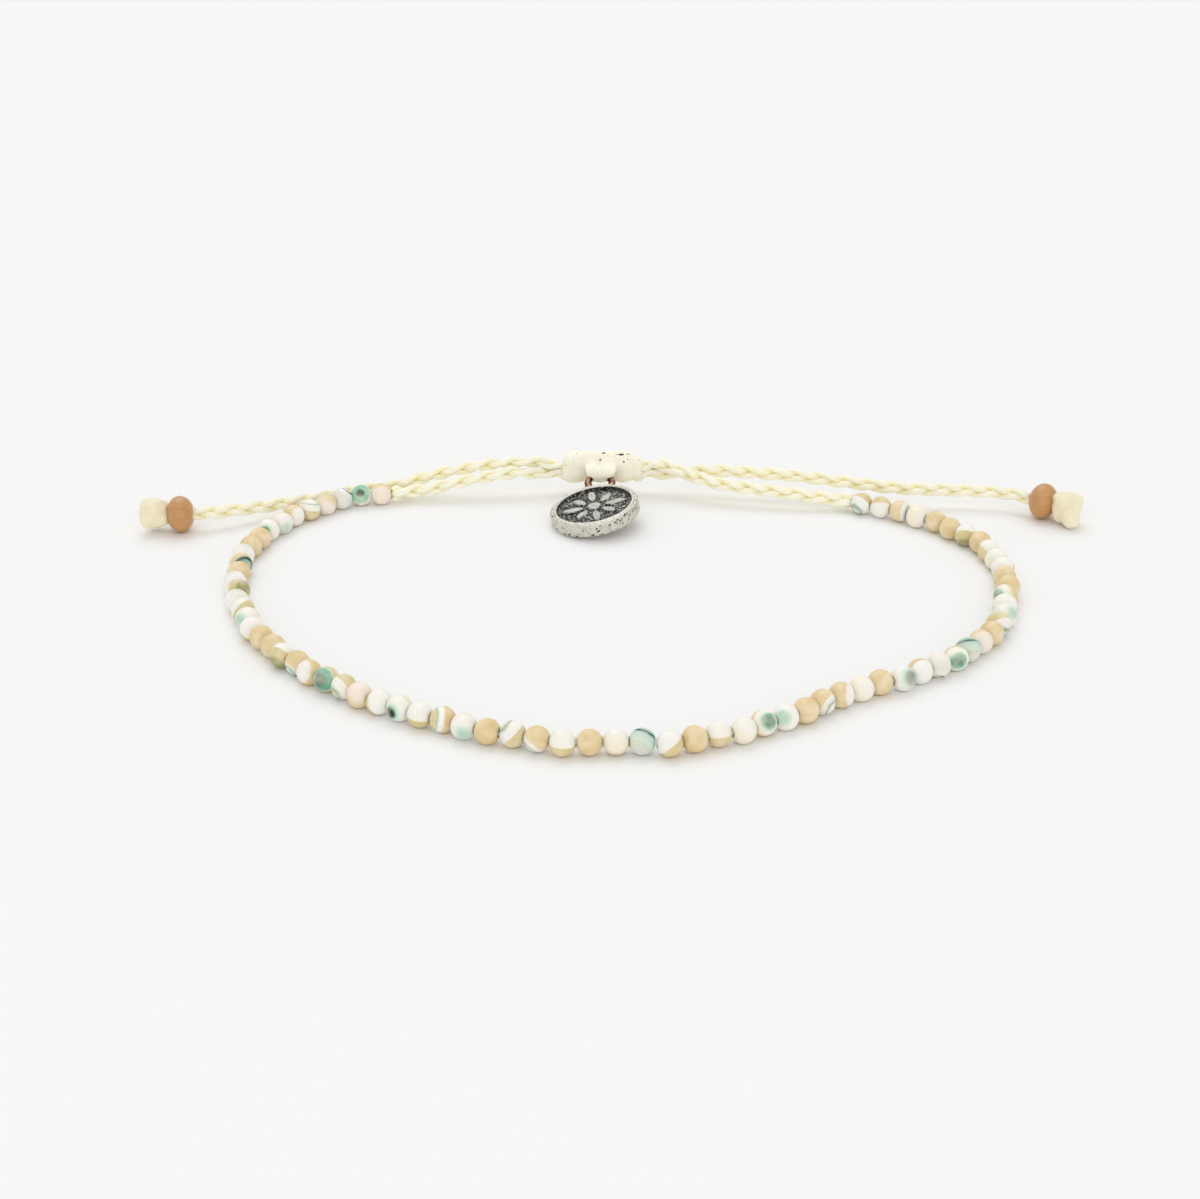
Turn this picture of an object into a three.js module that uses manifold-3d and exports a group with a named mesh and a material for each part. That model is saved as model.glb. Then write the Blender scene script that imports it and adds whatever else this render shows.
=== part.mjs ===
// A beaded anklet that lies on a table, in millimetres, with Z up.
// A string of round beads closes the front, two three-strand braids close the back
// and run out as tails through one sliding knot, and a round charm hangs from the knot.
import * as THREE from 'three';
import { mergeVertices } from 'three/addons/utils/BufferGeometryUtils.js';
import Module from 'manifold-3d';

// String of beads
const BEAD_DIAMETER = 3.0;
const BEAD_SPACING = 0.983; // distance between bead centres, in bead diameters
const BEAD_WOBBLE = 0.07; // how far a bead leaves the line, in bead diameters
const BEAD_SIDES = 10;
const THREAD_DIAMETER = 0.9;

// Braided cords
const STRAND_DIAMETER = 0.58;
const STRAND_GAP = 0.12;
const STRAND_SIDES = 5;
const BRAID_SWING = 1.03; // sideways swing, in strand spacings
const BRAID_LIFT = 0.74; // swing through the thickness, in strand spacings
const BRAID_TURN = 15; // length in which a strand comes round once, in strand spacings
const CORD_START_GAP = 0.45; // from the last bead to the braid

// Sliding knot
const KNOT_LENGTH = 12.2;
const KNOT_WALL = 0.3;
const KNOT_CLEARANCE = 0.22; // round the two cords in its bore
const KNOT_SIDES = 14;
const KNOT_OFFSET = 0.5; // sideways, from the ring to the middle of the knot
const LOOP_WIDTH = 2.0;
const LOOP_THICKNESS = 1.0;

// Jump ring
const RING_DIAMETER = 4.55;
const RING_WIRE = 0.85;
const RING_HANG = 22; // degrees that it slopes down from the knot
const RING_CLEARANCE = 0.13;

// Charm
const CHARM_DIAMETER = 12.8;
const CHARM_THICKNESS = 1.9;
const CHARM_RIM = 0.75;
const CHARM_RECESS = 0.55;
const CHARM_RELIEF = 0.34;
const CHARM_EDGE = 0.22; // rounding of its outer edges
const CHARM_TILT = 11.6; // degrees from lying flat
const CHARM_LEAN = 202; // direction in which it leans, degrees from +X
const CHARM_X = -0.55;
const CHARM_Y = 25.4;
const BAIL_WIRE = 0.54;
const BAIL_HEIGHT = 0.3; // middle of its eye above the charm's back
const BAIL_TURN = -6; // degrees round the charm, from its far edge

// Wooden beads and end knots
const WOOD_DIAMETER = 5.15;
const WOOD_LENGTH = 3.75;
const WOOD_END = 0.56; // radius of its end faces, in bead radii
const WOOD_CLEARANCE = 0.15;
const END_KNOT_DIAMETER = 4.5;
const END_KNOT_GAP = 0.12;

// Chosen points of the string of beads, seen from above, from its left end to its right end.
const STRING_ROUTE = [
  { x: -30.4, y: 33.2 }, { x: -34.6, y: 32.8 }, { x: -39.6, y: 29.4 }, { x: -43.6, y: 24.4 },
  { x: -46.8, y: 17.9 }, { x: -48.2, y: 10.9 }, { x: -48.0, y: 3.4 }, { x: -46.4, y: -4.2 },
  { x: -43.4, y: -11.6 }, { x: -39.1, y: -18.4 }, { x: -33.4, y: -24.8 }, { x: -26.6, y: -30.6 },
  { x: -19.0, y: -35.2 }, { x: -10.4, y: -39.1 }, { x: -1.5, y: -40.8 }, { x: 7.0, y: -40.7 },
  { x: 15.2, y: -38.4 }, { x: 22.6, y: -34.0 }, { x: 30.2, y: -28.2 }, { x: 38.2, y: -23.8 },
  { x: 44.9, y: -18.0 }, { x: 50.0, y: -10.8 }, { x: 52.6, y: -2.4 }, { x: 53.7, y: 6.2 },
  { x: 52.4, y: 14.6 }, { x: 47.9, y: 21.9 }, { x: 42.2, y: 26.9 }, { x: 36.5, y: 30.4 },
];

// Chosen points of the cords. Rise is the height above a cord that lies on the table, and
// roll turns the flat side of the braid from facing up, at 0, to facing the front, at 90.
const LEFT_CORD_TO_KNOT = [
  { x: -28.9, y: 33.6, rise: 0.5, roll: 105 }, { x: -24.6, y: 34.2, rise: 0.95, roll: 110 },
  { x: -20.3, y: 34.9, rise: 1.75, roll: 118 }, { x: -16.0, y: 35.5, rise: 2.35, roll: 120 },
  { x: -12.4, y: 36.1, rise: 2.72, roll: 121 }, { x: -9.3, y: 36.75, rise: 2.3, roll: 145 },
];
const LEFT_CORD_TAIL = [
  { x: 9.0, y: 37.75, rise: 1.95, roll: 206 }, { x: 11.2, y: 37.65, rise: 2.05, roll: 234 },
  { x: 13.6, y: 37.2, rise: 2.4, roll: 258 }, { x: 16.4, y: 36.7, rise: 2.75, roll: 275 },
  { x: 22.6, y: 35.9, rise: 2.75, roll: 275 }, { x: 29.1, y: 35.3, rise: 2.43, roll: 260 },
  { x: 36.3, y: 33.9, rise: 2.05, roll: 250 }, { x: 43.5, y: 32.2, rise: 1.8, roll: 245 },
  { x: 52.0, y: 31.8, rise: 1.6, roll: 245 }, { x: 58.4, y: 30.9, rise: 1.55, roll: 245 },
];
const RIGHT_CORD_TO_KNOT = [
  { x: 32.5, y: 30.9, rise: 0.75, roll: 65 }, { x: 29.1, y: 31.2, rise: 1.15, roll: 70 },
  { x: 22.7, y: 32.2, rise: 1.65, roll: 85 }, { x: 16.4, y: 33.8, rise: 2.05, roll: 95 },
  { x: 13.6, y: 35.0, rise: 2.55, roll: 78 }, { x: 11.2, y: 36.1, rise: 3.1, roll: 54 },
  { x: 9.0, y: 36.95, rise: 3.55, roll: 26 },
];
const RIGHT_CORD_TAIL = [
  { x: -9.3, y: 37.75, rise: 3.77, roll: -35 }, { x: -12.4, y: 37.6, rise: 3.6, roll: -59 },
  { x: -16.0, y: 37.4, rise: 3.5, roll: -60 }, { x: -20.3, y: 37.0, rise: 2.9, roll: -62 },
  { x: -24.6, y: 36.7, rise: 2.1, roll: -70 }, { x: -28.9, y: 36.4, rise: 0.7, roll: -85 },
  { x: -32.0, y: 36.2, rise: 0.2, roll: -95 }, { x: -35.2, y: 35.6, rise: 0.08, roll: -100 },
  { x: -38.6, y: 33.9, rise: 0.08, roll: -105 }, { x: -42.6, y: 30.7, rise: 0.25, roll: -110 },
  { x: -47.0, y: 27.7, rise: 0.6, roll: -115 }, { x: -51.0, y: 25.4, rise: 0.95, roll: -115 },
  { x: -55.3, y: 23.3, rise: 1.35, roll: -115 },
];
const LEFT_WOOD_SPOT = { x: -59.1, y: 23.0 };
const RIGHT_WOOD_SPOT = { x: 63.4, y: 27.8 };

// Sizes that follow
const strandSpacing = STRAND_DIAMETER + STRAND_GAP;
const braidSwing = BRAID_SWING * strandSpacing;
const braidLift = BRAID_LIFT * strandSpacing;
const braidTurn = BRAID_TURN * strandSpacing;
const braidHalfWidth = braidSwing + STRAND_DIAMETER / 2;
const braidHalfThickness = braidLift + STRAND_DIAMETER / 2;
const laneOffset = braidHalfThickness + STRAND_GAP;
const boreHalfDepth = braidHalfWidth + KNOT_CLEARANCE;
const boreHalfHeight = laneOffset + braidHalfThickness + KNOT_CLEARANCE;
const charmRadius = CHARM_DIAMETER / 2;
const ringSpan = RING_DIAMETER - RING_WIRE;
const eyeReach = RING_WIRE / 2 + RING_CLEARANCE;
const endKnotRadius = END_KNOT_DIAMETER / 2;
const woodEndRadius = WOOD_END * WOOD_DIAMETER / 2;
const endKnotNest = Math.sqrt(endKnotRadius ** 2 - woodEndRadius ** 2);
const endKnotReach = WOOD_LENGTH / 2 + endKnotNest + END_KNOT_GAP;
const cordEndReach = endKnotReach - endKnotRadius - END_KNOT_GAP;

const radians = THREE.MathUtils.degToRad;
const vector = (x, y, z) => new THREE.Vector3(x, y, z);

// Joins rings of points, which all have the same count, into one closed skin with two flat ends.
function skinOverRings(rings) {
  const sides = rings[0].length;
  const positions = [];
  const indices = [];
  const middleOf = (ring) => ring.reduce((sum, point) => sum.add(point), vector(0, 0, 0))
    .divideScalar(ring.length);
  for (const ring of rings) {
    ring.forEach((point) => positions.push(point.x, point.y, point.z));
  }
  for (let i = 0; i + 1 < rings.length; i += 1) {
    for (let j = 0; j < sides; j += 1) {
      const here = i * sides + j;
      const beside = i * sides + (j + 1) % sides;
      indices.push(here, beside, here + sides);
      indices.push(beside, beside + sides, here + sides);
    }
  }
  const last = (rings.length - 1) * sides;
  const startCentre = rings.length * sides;
  for (const ring of [rings[0], rings[rings.length - 1]]) {
    const middle = middleOf(ring);
    positions.push(middle.x, middle.y, middle.z);
  }
  for (let j = 0; j < sides; j += 1) {
    const next = (j + 1) % sides;
    indices.push(startCentre, next, j);
    indices.push(startCentre + 1, last + j, last + next);
  }
  const geometry = new THREE.BufferGeometry();
  geometry.setAttribute('position', new THREE.Float32BufferAttribute(positions, 3));
  geometry.setIndex(indices);
  geometry.computeVertexNormals();
  return geometry;
}

// A ring of points round a centre. Side, up and the way ahead are right-handed in that order.
function ringOfPoints(centre, side, up, halfSide, halfUp, sides) {
  const points = [];
  for (let j = 0; j < sides; j += 1) {
    const angle = 2 * Math.PI * j / sides - Math.PI / 2;
    points.push(centre.clone()
      .addScaledVector(side, halfSide * Math.cos(angle))
      .addScaledVector(up, halfUp * Math.sin(angle)));
  }
  return points;
}

const wasm = await Module();
wasm.setup();

function toSolid(geometry) {
  const bare = geometry.clone();
  bare.deleteAttribute('normal');
  bare.deleteAttribute('uv');
  const merged = mergeVertices(bare, 1e-4);
  const corners = merged.index.array;
  const kept = [];
  for (let i = 0; i < corners.length; i += 3) {
    const [a, b, c] = [corners[i], corners[i + 1], corners[i + 2]];
    if (a !== b && b !== c && c !== a) {
      kept.push(a, b, c);
    }
  }
  return new wasm.Manifold(new wasm.Mesh({
    numProp: 3,
    vertProperties: new Float32Array(merged.attributes.position.array),
    triVerts: new Uint32Array(kept),
  }));
}

function toGeometry(solid) {
  const mesh = solid.getMesh();
  const positions = [];
  for (let i = 0; i < mesh.vertProperties.length; i += mesh.numProp) {
    positions.push(mesh.vertProperties[i], mesh.vertProperties[i + 1], mesh.vertProperties[i + 2]);
  }
  const geometry = new THREE.BufferGeometry();
  geometry.setAttribute('position', new THREE.Float32BufferAttribute(positions, 3));
  geometry.setIndex(Array.from(mesh.triVerts));
  geometry.computeVertexNormals();
  return geometry;
}

const anklet = new THREE.Group();

function addPiece(name, geometry, material) {
  const mesh = new THREE.Mesh(geometry, material);
  mesh.name = name;
  anklet.add(mesh);
  return mesh;
}

// The string of beads: one body whose width follows bead after bead, with the thread between.
const stringCurve = new THREE.CatmullRomCurve3(
  STRING_ROUTE.map((spot) => vector(spot.x, spot.y, BEAD_DIAMETER / 2)),
  false,
  'centripetal',
);
stringCurve.arcLengthDivisions = 1200;
const stringLength = stringCurve.getLength();
const beadCount = Math.round(stringLength / (BEAD_DIAMETER * BEAD_SPACING));
const beadPitch = stringLength / beadCount;

function beadShift(index) {
  return BEAD_WOBBLE * BEAD_DIAMETER * Math.sin(index * 2.35 + 0.8 * Math.sin(index * 0.9));
}

function stringRing(distance, radius, shift) {
  const share = THREE.MathUtils.clamp(distance / stringLength, 0, 1);
  const ahead = stringCurve.getTangentAt(share);
  const up = vector(0, 0, 1);
  const side = up.clone().cross(ahead).normalize();
  const centre = stringCurve.getPointAt(share).addScaledVector(side, shift);
  return ringOfPoints(centre, side, up, radius, radius, BEAD_SIDES);
}

function beadStringGeometry() {
  const beadRadius = BEAD_DIAMETER / 2;
  const profile = [
    { along: -0.73, width: 0.71 },
    { along: -0.28, width: 0.985 },
    { along: 0.28, width: 0.985 },
    { along: 0.73, width: 0.71 },
  ];
  const rings = [stringRing(0, THREAD_DIAMETER / 2, beadShift(0))];
  for (let i = 0; i < beadCount; i += 1) {
    const centre = (i + 0.5) * beadPitch;
    for (const row of profile) {
      const width = row.width * beadRadius;
      rings.push(stringRing(centre + row.along * beadRadius, width, beadShift(i)));
    }
    const betweenShift = i + 1 < beadCount ? (beadShift(i) + beadShift(i + 1)) / 2 : beadShift(i);
    rings.push(stringRing((i + 1) * beadPitch, THREAD_DIAMETER / 2, betweenShift));
  }
  return skinOverRings(rings);
}

const shellMaterial = new THREE.MeshStandardMaterial({ color: 0xe9d8b8, roughness: 0.5, metalness: 0 });
addPiece('bead_string', beadStringGeometry(), shellMaterial);

// Charm: a tilted disc with one edge on the table and an eye at its far edge.
const charmTilt = radians(CHARM_TILT);
const charmLean = radians(CHARM_LEAN);
const charmNormal = vector(
  Math.sin(charmTilt) * Math.cos(charmLean),
  Math.sin(charmTilt) * Math.sin(charmLean),
  Math.cos(charmTilt),
);
const farWay = vector(Math.sin(radians(-BAIL_TURN)), Math.cos(radians(-BAIL_TURN)), 0);
const charmFar = farWay.addScaledVector(charmNormal, -farWay.dot(charmNormal)).normalize();
const charmSide = charmFar.clone().cross(charmNormal);
const charmHeight = (charmRadius - CHARM_EDGE) * Math.sin(charmTilt);
const charmPlace = vector(CHARM_X, CHARM_Y, charmHeight);
const eyeFromAxis = charmRadius + eyeReach;
const eyePlace = charmPlace.clone()
  .addScaledVector(charmFar, eyeFromAxis)
  .addScaledVector(charmNormal, BAIL_HEIGHT);

function petalShape(start, end, halfWidth) {
  const outline = [
    { along: 0, side: 0.25 }, { along: 0.45, side: 1 }, { along: 0.8, side: 0.8 }, { along: 1, side: 0 },
    { along: 0.8, side: -0.8 }, { along: 0.45, side: -1 }, { along: 0, side: -0.25 },
  ];
  return new THREE.Shape(outline.map((row) => new THREE.Vector2(
    start + row.along * (end - start),
    row.side * halfWidth,
  )));
}

function charmGeometry() {
  const rimInner = charmRadius - CHARM_RIM;
  const floor = CHARM_THICKNESS - CHARM_RECESS;
  const profile = [
    [0, 0], [charmRadius - CHARM_EDGE, 0], [charmRadius, CHARM_EDGE],
    [charmRadius, CHARM_THICKNESS - CHARM_EDGE], [charmRadius - CHARM_EDGE, CHARM_THICKNESS],
    [rimInner, CHARM_THICKNESS], [rimInner - 0.1, floor], [0, floor],
  ].map(([radius, height]) => new THREE.Vector2(radius, height));
  const disc = new THREE.LatheGeometry(profile, 28);
  disc.rotateX(Math.PI / 2);
  let solid = toSolid(disc);
  const sink = 0.1;
  const petalCount = 8;
  for (let i = 0; i < petalCount; i += 1) {
    const reach = i % 2 === 0 ? 0.86 : 0.72;
    const shape = petalShape(0.3 * rimInner, reach * rimInner, 0.13 * rimInner);
    const petal = new THREE.ExtrudeGeometry(shape, { depth: CHARM_RELIEF + sink, bevelEnabled: false });
    petal.translate(0, 0, floor - sink);
    petal.rotateZ(2 * Math.PI * i / petalCount + 0.2);
    solid = solid.add(toSolid(petal));
  }
  const boss = new THREE.CylinderGeometry(0.13 * rimInner, 0.2 * rimInner, CHARM_RELIEF + sink, 12);
  boss.rotateX(Math.PI / 2);
  boss.translate(0, 0, floor + (CHARM_RELIEF - sink) / 2);
  solid = solid.add(toSolid(boss));
  const eye = new THREE.TorusGeometry(eyeReach + BAIL_WIRE / 2, BAIL_WIRE / 2, 6, 14);
  eye.rotateY(Math.PI / 2);
  eye.translate(0, eyeFromAxis, BAIL_HEIGHT);
  return toGeometry(solid.add(toSolid(eye)));
}

const pewterMaterial = new THREE.MeshStandardMaterial({ color: 0x9a9a94, roughness: 0.42, metalness: 0.9 });
const charm = addPiece('round_charm', charmGeometry(), pewterMaterial);
charm.position.copy(charmPlace);
charm.quaternion.setFromRotationMatrix(
  new THREE.Matrix4().makeBasis(charmSide, charmFar, charmNormal),
);

// Jump ring: through the charm's eye at one end and the knot's loop at the other.
const ringHang = radians(RING_HANG);
const ringWay = vector(0, Math.cos(ringHang), Math.sin(ringHang));
const loopPlace = eyePlace.clone().addScaledVector(ringWay, ringSpan);
const copperMaterial = new THREE.MeshStandardMaterial({ color: 0xa5694c, roughness: 0.35, metalness: 1 });
const ring = addPiece(
  'jump_ring',
  new THREE.TorusGeometry(ringSpan / 2, RING_WIRE / 2, 6, 22),
  copperMaterial,
);
ring.position.copy(eyePlace).addScaledVector(ringWay, ringSpan / 2);
ring.rotation.x = ringHang;

// Sliding knot: a lobed sleeve with one bore for both cords, and a loop that holds the ring.
const sleeveHalfDepth = boreHalfDepth + KNOT_WALL;
const sleeveHalfHeight = boreHalfHeight + KNOT_WALL;
const knotPlace = loopPlace.clone().add(vector(KNOT_OFFSET, sleeveHalfDepth + eyeReach, 0));

// A rounded section across the X axis, fuller than an ellipse.
function sleeveSection(x, halfDepth, halfHeight, slant, sides) {
  const points = [];
  const fullness = 2 / 3.2;
  for (let j = 0; j < sides; j += 1) {
    const angle = 2 * Math.PI * j / sides - Math.PI / 2;
    const across = Math.cos(angle);
    const height = Math.sin(angle);
    points.push(vector(
      x + slant * height,
      halfDepth * Math.sign(across) * Math.abs(across) ** fullness,
      halfHeight * Math.sign(height) * Math.abs(height) ** fullness,
    ));
  }
  return points;
}

function knotGeometry() {
  const half = KNOT_LENGTH / 2;
  const rows = [
    { at: -1.0, grow: -0.1, slant: 0 }, { at: -0.93, grow: 0.05, slant: 0.1 },
    { at: -0.72, grow: 0.14, slant: 0.25 }, { at: -0.46, grow: 0.14, slant: 0.3 },
    { at: -0.33, grow: 0.02, slant: 0.3 }, { at: -0.27, grow: 0, slant: 0.1 },
    { at: -0.05, grow: 0, slant: 0 }, { at: 0.18, grow: 0, slant: -0.1 },
    { at: 0.24, grow: 0.02, slant: -0.25 }, { at: 0.36, grow: 0.14, slant: -0.3 },
    { at: 0.58, grow: 0.14, slant: -0.25 }, { at: 0.68, grow: 0.0, slant: -0.2 },
    { at: 0.78, grow: 0.09, slant: -0.12 }, { at: 0.92, grow: 0.06, slant: -0.05 },
    { at: 1.0, grow: -0.1, slant: 0 },
  ];
  const sections = rows.map((row) => sleeveSection(
    row.at * half,
    sleeveHalfDepth + row.grow,
    sleeveHalfHeight + row.grow,
    row.slant,
    KNOT_SIDES,
  ));
  const bore = [-half - 1, half + 1].map((x) => sleeveSection(
    x,
    boreHalfDepth,
    boreHalfHeight,
    0,
    KNOT_SIDES,
  ));
  const loopMiddle = vector(-KNOT_OFFSET, -sleeveHalfDepth - eyeReach, 0);
  const loopRadius = eyeReach + LOOP_THICKNESS / 2;
  const loop = [];
  const steps = 8;
  for (let i = 0; i <= steps; i += 1) {
    const angle = radians(THREE.MathUtils.lerp(140, -140, i / steps));
    const outward = vector(0, -Math.cos(angle), Math.sin(angle));
    const centre = loopMiddle.clone().addScaledVector(outward, loopRadius);
    loop.push(ringOfPoints(centre, outward, vector(-1, 0, 0), LOOP_THICKNESS / 2, LOOP_WIDTH / 2, 8));
  }
  const body = toSolid(skinOverRings(sections)).add(toSolid(skinOverRings(loop)));
  return toGeometry(body.subtract(toSolid(skinOverRings(bore))));
}

const cordMaterial = new THREE.MeshStandardMaterial({ color: 0xf1e9cf, roughness: 0.75, metalness: 0 });
const knot = addPiece('sliding_knot', knotGeometry(), cordMaterial.clone());
knot.position.copy(knotPlace);

// Cords: each is a flat braid of three strands along one smooth line.
function cordLine(start, toKnot, lane, tail, woodSpot) {
  const heading = Math.sign(tail[0].x - toKnot[0].x);
  const rest = braidHalfWidth;
  const straight = KNOT_LENGTH / 2 + 0.8;
  const rows = [
    { place: start, roll: toKnot[0].roll },
    ...toKnot.map((row) => ({ place: vector(row.x, row.y, rest + row.rise), roll: row.roll })),
  ];
  for (const way of [-1, -0.85, 0.85, 1]) {
    const place = knotPlace.clone().add(vector(way * heading * straight, 0, lane.height));
    rows.push({ place, roll: lane.roll });
  }
  rows.push(...tail.map((row) => ({ place: vector(row.x, row.y, rest + row.rise), roll: row.roll })));
  const endRoll = tail[tail.length - 1].roll;
  const wood = vector(woodSpot.x, woodSpot.y, WOOD_DIAMETER / 2);
  const way = wood.clone().sub(rows[rows.length - 1].place).setZ(0).normalize();
  rows.push({ place: wood.clone().addScaledVector(way, -WOOD_LENGTH / 2), roll: endRoll });
  rows.push({ place: wood.clone().addScaledVector(way, cordEndReach), roll: endRoll });
  const curve = new THREE.CatmullRomCurve3(rows.map((row) => row.place), false, 'centripetal');
  curve.arcLengthDivisions = 1500;
  const length = curve.getLength();
  return { curve, rows, length, wood, way };
}

// The place of the line at a distance along it, with the braid's flat side and its width.
function cordFrame(line, distance) {
  const share = THREE.MathUtils.clamp(distance / line.length, 0, 1);
  const t = line.curve.getUtoTmapping(share);
  const steps = (line.rows.length - 1) * t;
  const before = Math.min(Math.floor(steps), line.rows.length - 2);
  const roll = radians(THREE.MathUtils.lerp(
    line.rows[before].roll,
    line.rows[before + 1].roll,
    steps - before,
  ));
  const ahead = line.curve.getTangent(t);
  const front = vector(0, -1, 0);
  front.addScaledVector(ahead, -front.dot(ahead)).normalize();
  const up = front.clone().cross(ahead);
  up.multiplyScalar(Math.sign(up.z));
  const flat = up.multiplyScalar(Math.cos(roll)).addScaledVector(front, Math.sin(roll));
  return { place: line.curve.getPoint(t), flat, width: flat.clone().cross(ahead) };
}

function strandGeometry(line, strandIndex) {
  const stops = [0];
  const phases = [30, 60, 120, 150, 210, 240, 300, 330];
  const turns = Math.ceil(line.length / braidTurn) + 1;
  for (let turn = -1; turn <= turns; turn += 1) {
    for (const phase of phases) {
      const distance = braidTurn * (turn + phase / 360 - strandIndex / 3);
      if (distance > 0.4 && distance < line.length - 0.4) {
        stops.push(distance);
      }
    }
  }
  stops.push(line.length);
  const centres = stops.map((distance) => {
    const frame = cordFrame(line, distance);
    const angle = 2 * Math.PI * (distance / braidTurn + strandIndex / 3);
    return frame.place
      .addScaledVector(frame.width, braidSwing * Math.sin(angle))
      .addScaledVector(frame.flat, braidLift * Math.sin(2 * angle));
  });
  const rings = centres.map((centre, i) => {
    const before = centres[Math.max(i - 1, 0)];
    const after = centres[Math.min(i + 1, centres.length - 1)];
    const ahead = after.clone().sub(before).normalize();
    const side = cordFrame(line, stops[i]).flat.cross(ahead).normalize();
    const up = ahead.clone().cross(side);
    return ringOfPoints(centre, side, up, STRAND_DIAMETER / 2, STRAND_DIAMETER / 2, STRAND_SIDES);
  });
  return skinOverRings(rings);
}

function braidStart(share) {
  const ahead = stringCurve.getTangentAt(share).multiplyScalar(share === 0 ? -1 : 1);
  return stringCurve.getPointAt(share).addScaledVector(ahead, CORD_START_GAP);
}

const cords = [
  {
    side: 'left',
    line: cordLine(
      braidStart(0),
      LEFT_CORD_TO_KNOT,
      { height: -laneOffset, roll: 180 },
      LEFT_CORD_TAIL,
      RIGHT_WOOD_SPOT,
    ),
  },
  {
    side: 'right',
    line: cordLine(
      braidStart(1),
      RIGHT_CORD_TO_KNOT,
      { height: laneOffset, roll: 0 },
      RIGHT_CORD_TAIL,
      LEFT_WOOD_SPOT,
    ),
  },
];
for (const cord of cords) {
  for (const number of [1, 2, 3]) {
    addPiece(
      `${cord.side}_cord_strand_${number}`,
      strandGeometry(cord.line, number - 1),
      cordMaterial.clone(),
    );
  }
}

// Wooden beads: a tail runs through each, and its end knot lies behind.
function woodGeometry() {
  const radius = WOOD_DIAMETER / 2;
  const half = WOOD_LENGTH / 2;
  const bore = braidHalfWidth + WOOD_CLEARANCE;
  const outline = [
    { out: WOOD_END, along: -1 }, { out: 0.8, along: -0.76 }, { out: 0.96, along: -0.4 }, { out: 1, along: 0 },
    { out: 0.96, along: 0.4 }, { out: 0.8, along: 0.76 }, { out: WOOD_END, along: 1 },
  ];
  const profile = [
    new THREE.Vector2(bore, -half),
    ...outline.map((row) => new THREE.Vector2(row.out * radius, row.along * half)),
    new THREE.Vector2(bore, half),
    new THREE.Vector2(bore, -half),
  ];
  return new THREE.LatheGeometry(profile, 16);
}

// An overhand knot in the braid: three thick turns drawn tight round each other.
function endKnotGeometry() {
  const turnRadius = END_KNOT_DIAMETER * 0.19;
  const turnMiddle = endKnotRadius - turnRadius;
  const core = new THREE.IcosahedronGeometry(END_KNOT_DIAMETER * 0.36, 0);
  let solid = toSolid(core);
  for (const tilt of [-52, 8, 68]) {
    const turn = new THREE.TorusGeometry(turnMiddle, turnRadius, 6, 10);
    turn.rotateY(Math.PI / 2 - radians(tilt));
    turn.rotateX(radians(tilt) * 0.7);
    solid = solid.add(toSolid(turn));
  }
  return toGeometry(solid);
}

const woodMaterial = new THREE.MeshStandardMaterial({ color: 0xa9754b, roughness: 0.5, metalness: 0 });
for (const [side, cord] of [['left', cords[1]], ['right', cords[0]]]) {
  const wood = addPiece(`wood_bead_${side}`, woodGeometry(), woodMaterial.clone());
  wood.position.copy(cord.line.wood);
  wood.quaternion.setFromUnitVectors(vector(0, 1, 0), cord.line.way);
  const endKnot = addPiece(`end_knot_${side}`, endKnotGeometry(), cordMaterial.clone());
  endKnot.position.copy(cord.line.wood).addScaledVector(cord.line.way, endKnotReach);
  endKnot.rotation.z = Math.atan2(cord.line.way.y, cord.line.way.x);
}

// The origin is below the middle of the whole, on the table.
const whole = new THREE.Box3().setFromObject(anklet, true);
const middle = whole.getCenter(vector(0, 0, 0));
anklet.position.set(-middle.x, -middle.y, -whole.min.z);
const group = new THREE.Group();
group.add(anklet);

export default group;
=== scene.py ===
import math

import bpy
import numpy as np
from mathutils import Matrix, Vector, noise


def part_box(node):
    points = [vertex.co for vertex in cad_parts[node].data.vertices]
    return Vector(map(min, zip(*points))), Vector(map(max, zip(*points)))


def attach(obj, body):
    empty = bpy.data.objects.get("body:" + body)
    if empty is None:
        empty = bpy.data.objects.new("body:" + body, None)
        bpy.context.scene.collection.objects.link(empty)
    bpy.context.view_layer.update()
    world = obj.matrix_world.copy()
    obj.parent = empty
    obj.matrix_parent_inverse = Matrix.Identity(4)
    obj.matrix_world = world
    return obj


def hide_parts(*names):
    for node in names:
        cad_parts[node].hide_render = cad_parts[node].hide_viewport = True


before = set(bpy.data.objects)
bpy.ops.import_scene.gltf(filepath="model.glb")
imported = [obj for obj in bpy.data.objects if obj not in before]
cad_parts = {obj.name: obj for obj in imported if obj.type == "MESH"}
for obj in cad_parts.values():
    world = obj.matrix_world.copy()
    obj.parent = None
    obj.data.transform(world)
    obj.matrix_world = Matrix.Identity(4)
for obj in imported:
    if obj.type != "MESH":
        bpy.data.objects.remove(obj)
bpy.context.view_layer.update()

# Lengths are in millimetres in this script and become metres when a mesh is made.
MM = 0.001

# String of beads
BEAD_DIAMETER = 3.0
BEAD_FULLNESS = 1.035
BEAD_SPACING = 0.983
BEAD_WOBBLE = 0.07
BEAD_HOLE = 0.9
BEAD_FACE_GAP = 0.01
# How far a bead is out of round, across and up.
BEAD_UNEVENNESS = (0.02, 0.018)
# Beads that have slipped off the line, by their place from the left end.
LOOSE_BEADS = {35: -0.7, 37: 0.3, 39: -0.6}
BEAD_SIDES = 32
BEAD_RINGS = 20
THREAD_DIAMETER = 0.75
THREAD_SIDES = 10

# Braided cords
STRAND_SPACING = 0.7
STRAND_WIDTH = 0.94
STRAND_DEPTH = 0.84
STRAND_SIDES = 14
BRAID_SWING = 0.51
BRAID_LIFT = 0.4
BRAID_TURN = 15 * STRAND_SPACING
BRAID_HALF_WIDTH = 1.011
LANE_HEIGHT = 0.56
CORD_START_GAP = 0.1
CORD_END_REACH = 2.6
STRAND_STEP = 0.22
FIBRE_SPACING = 0.42
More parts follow.
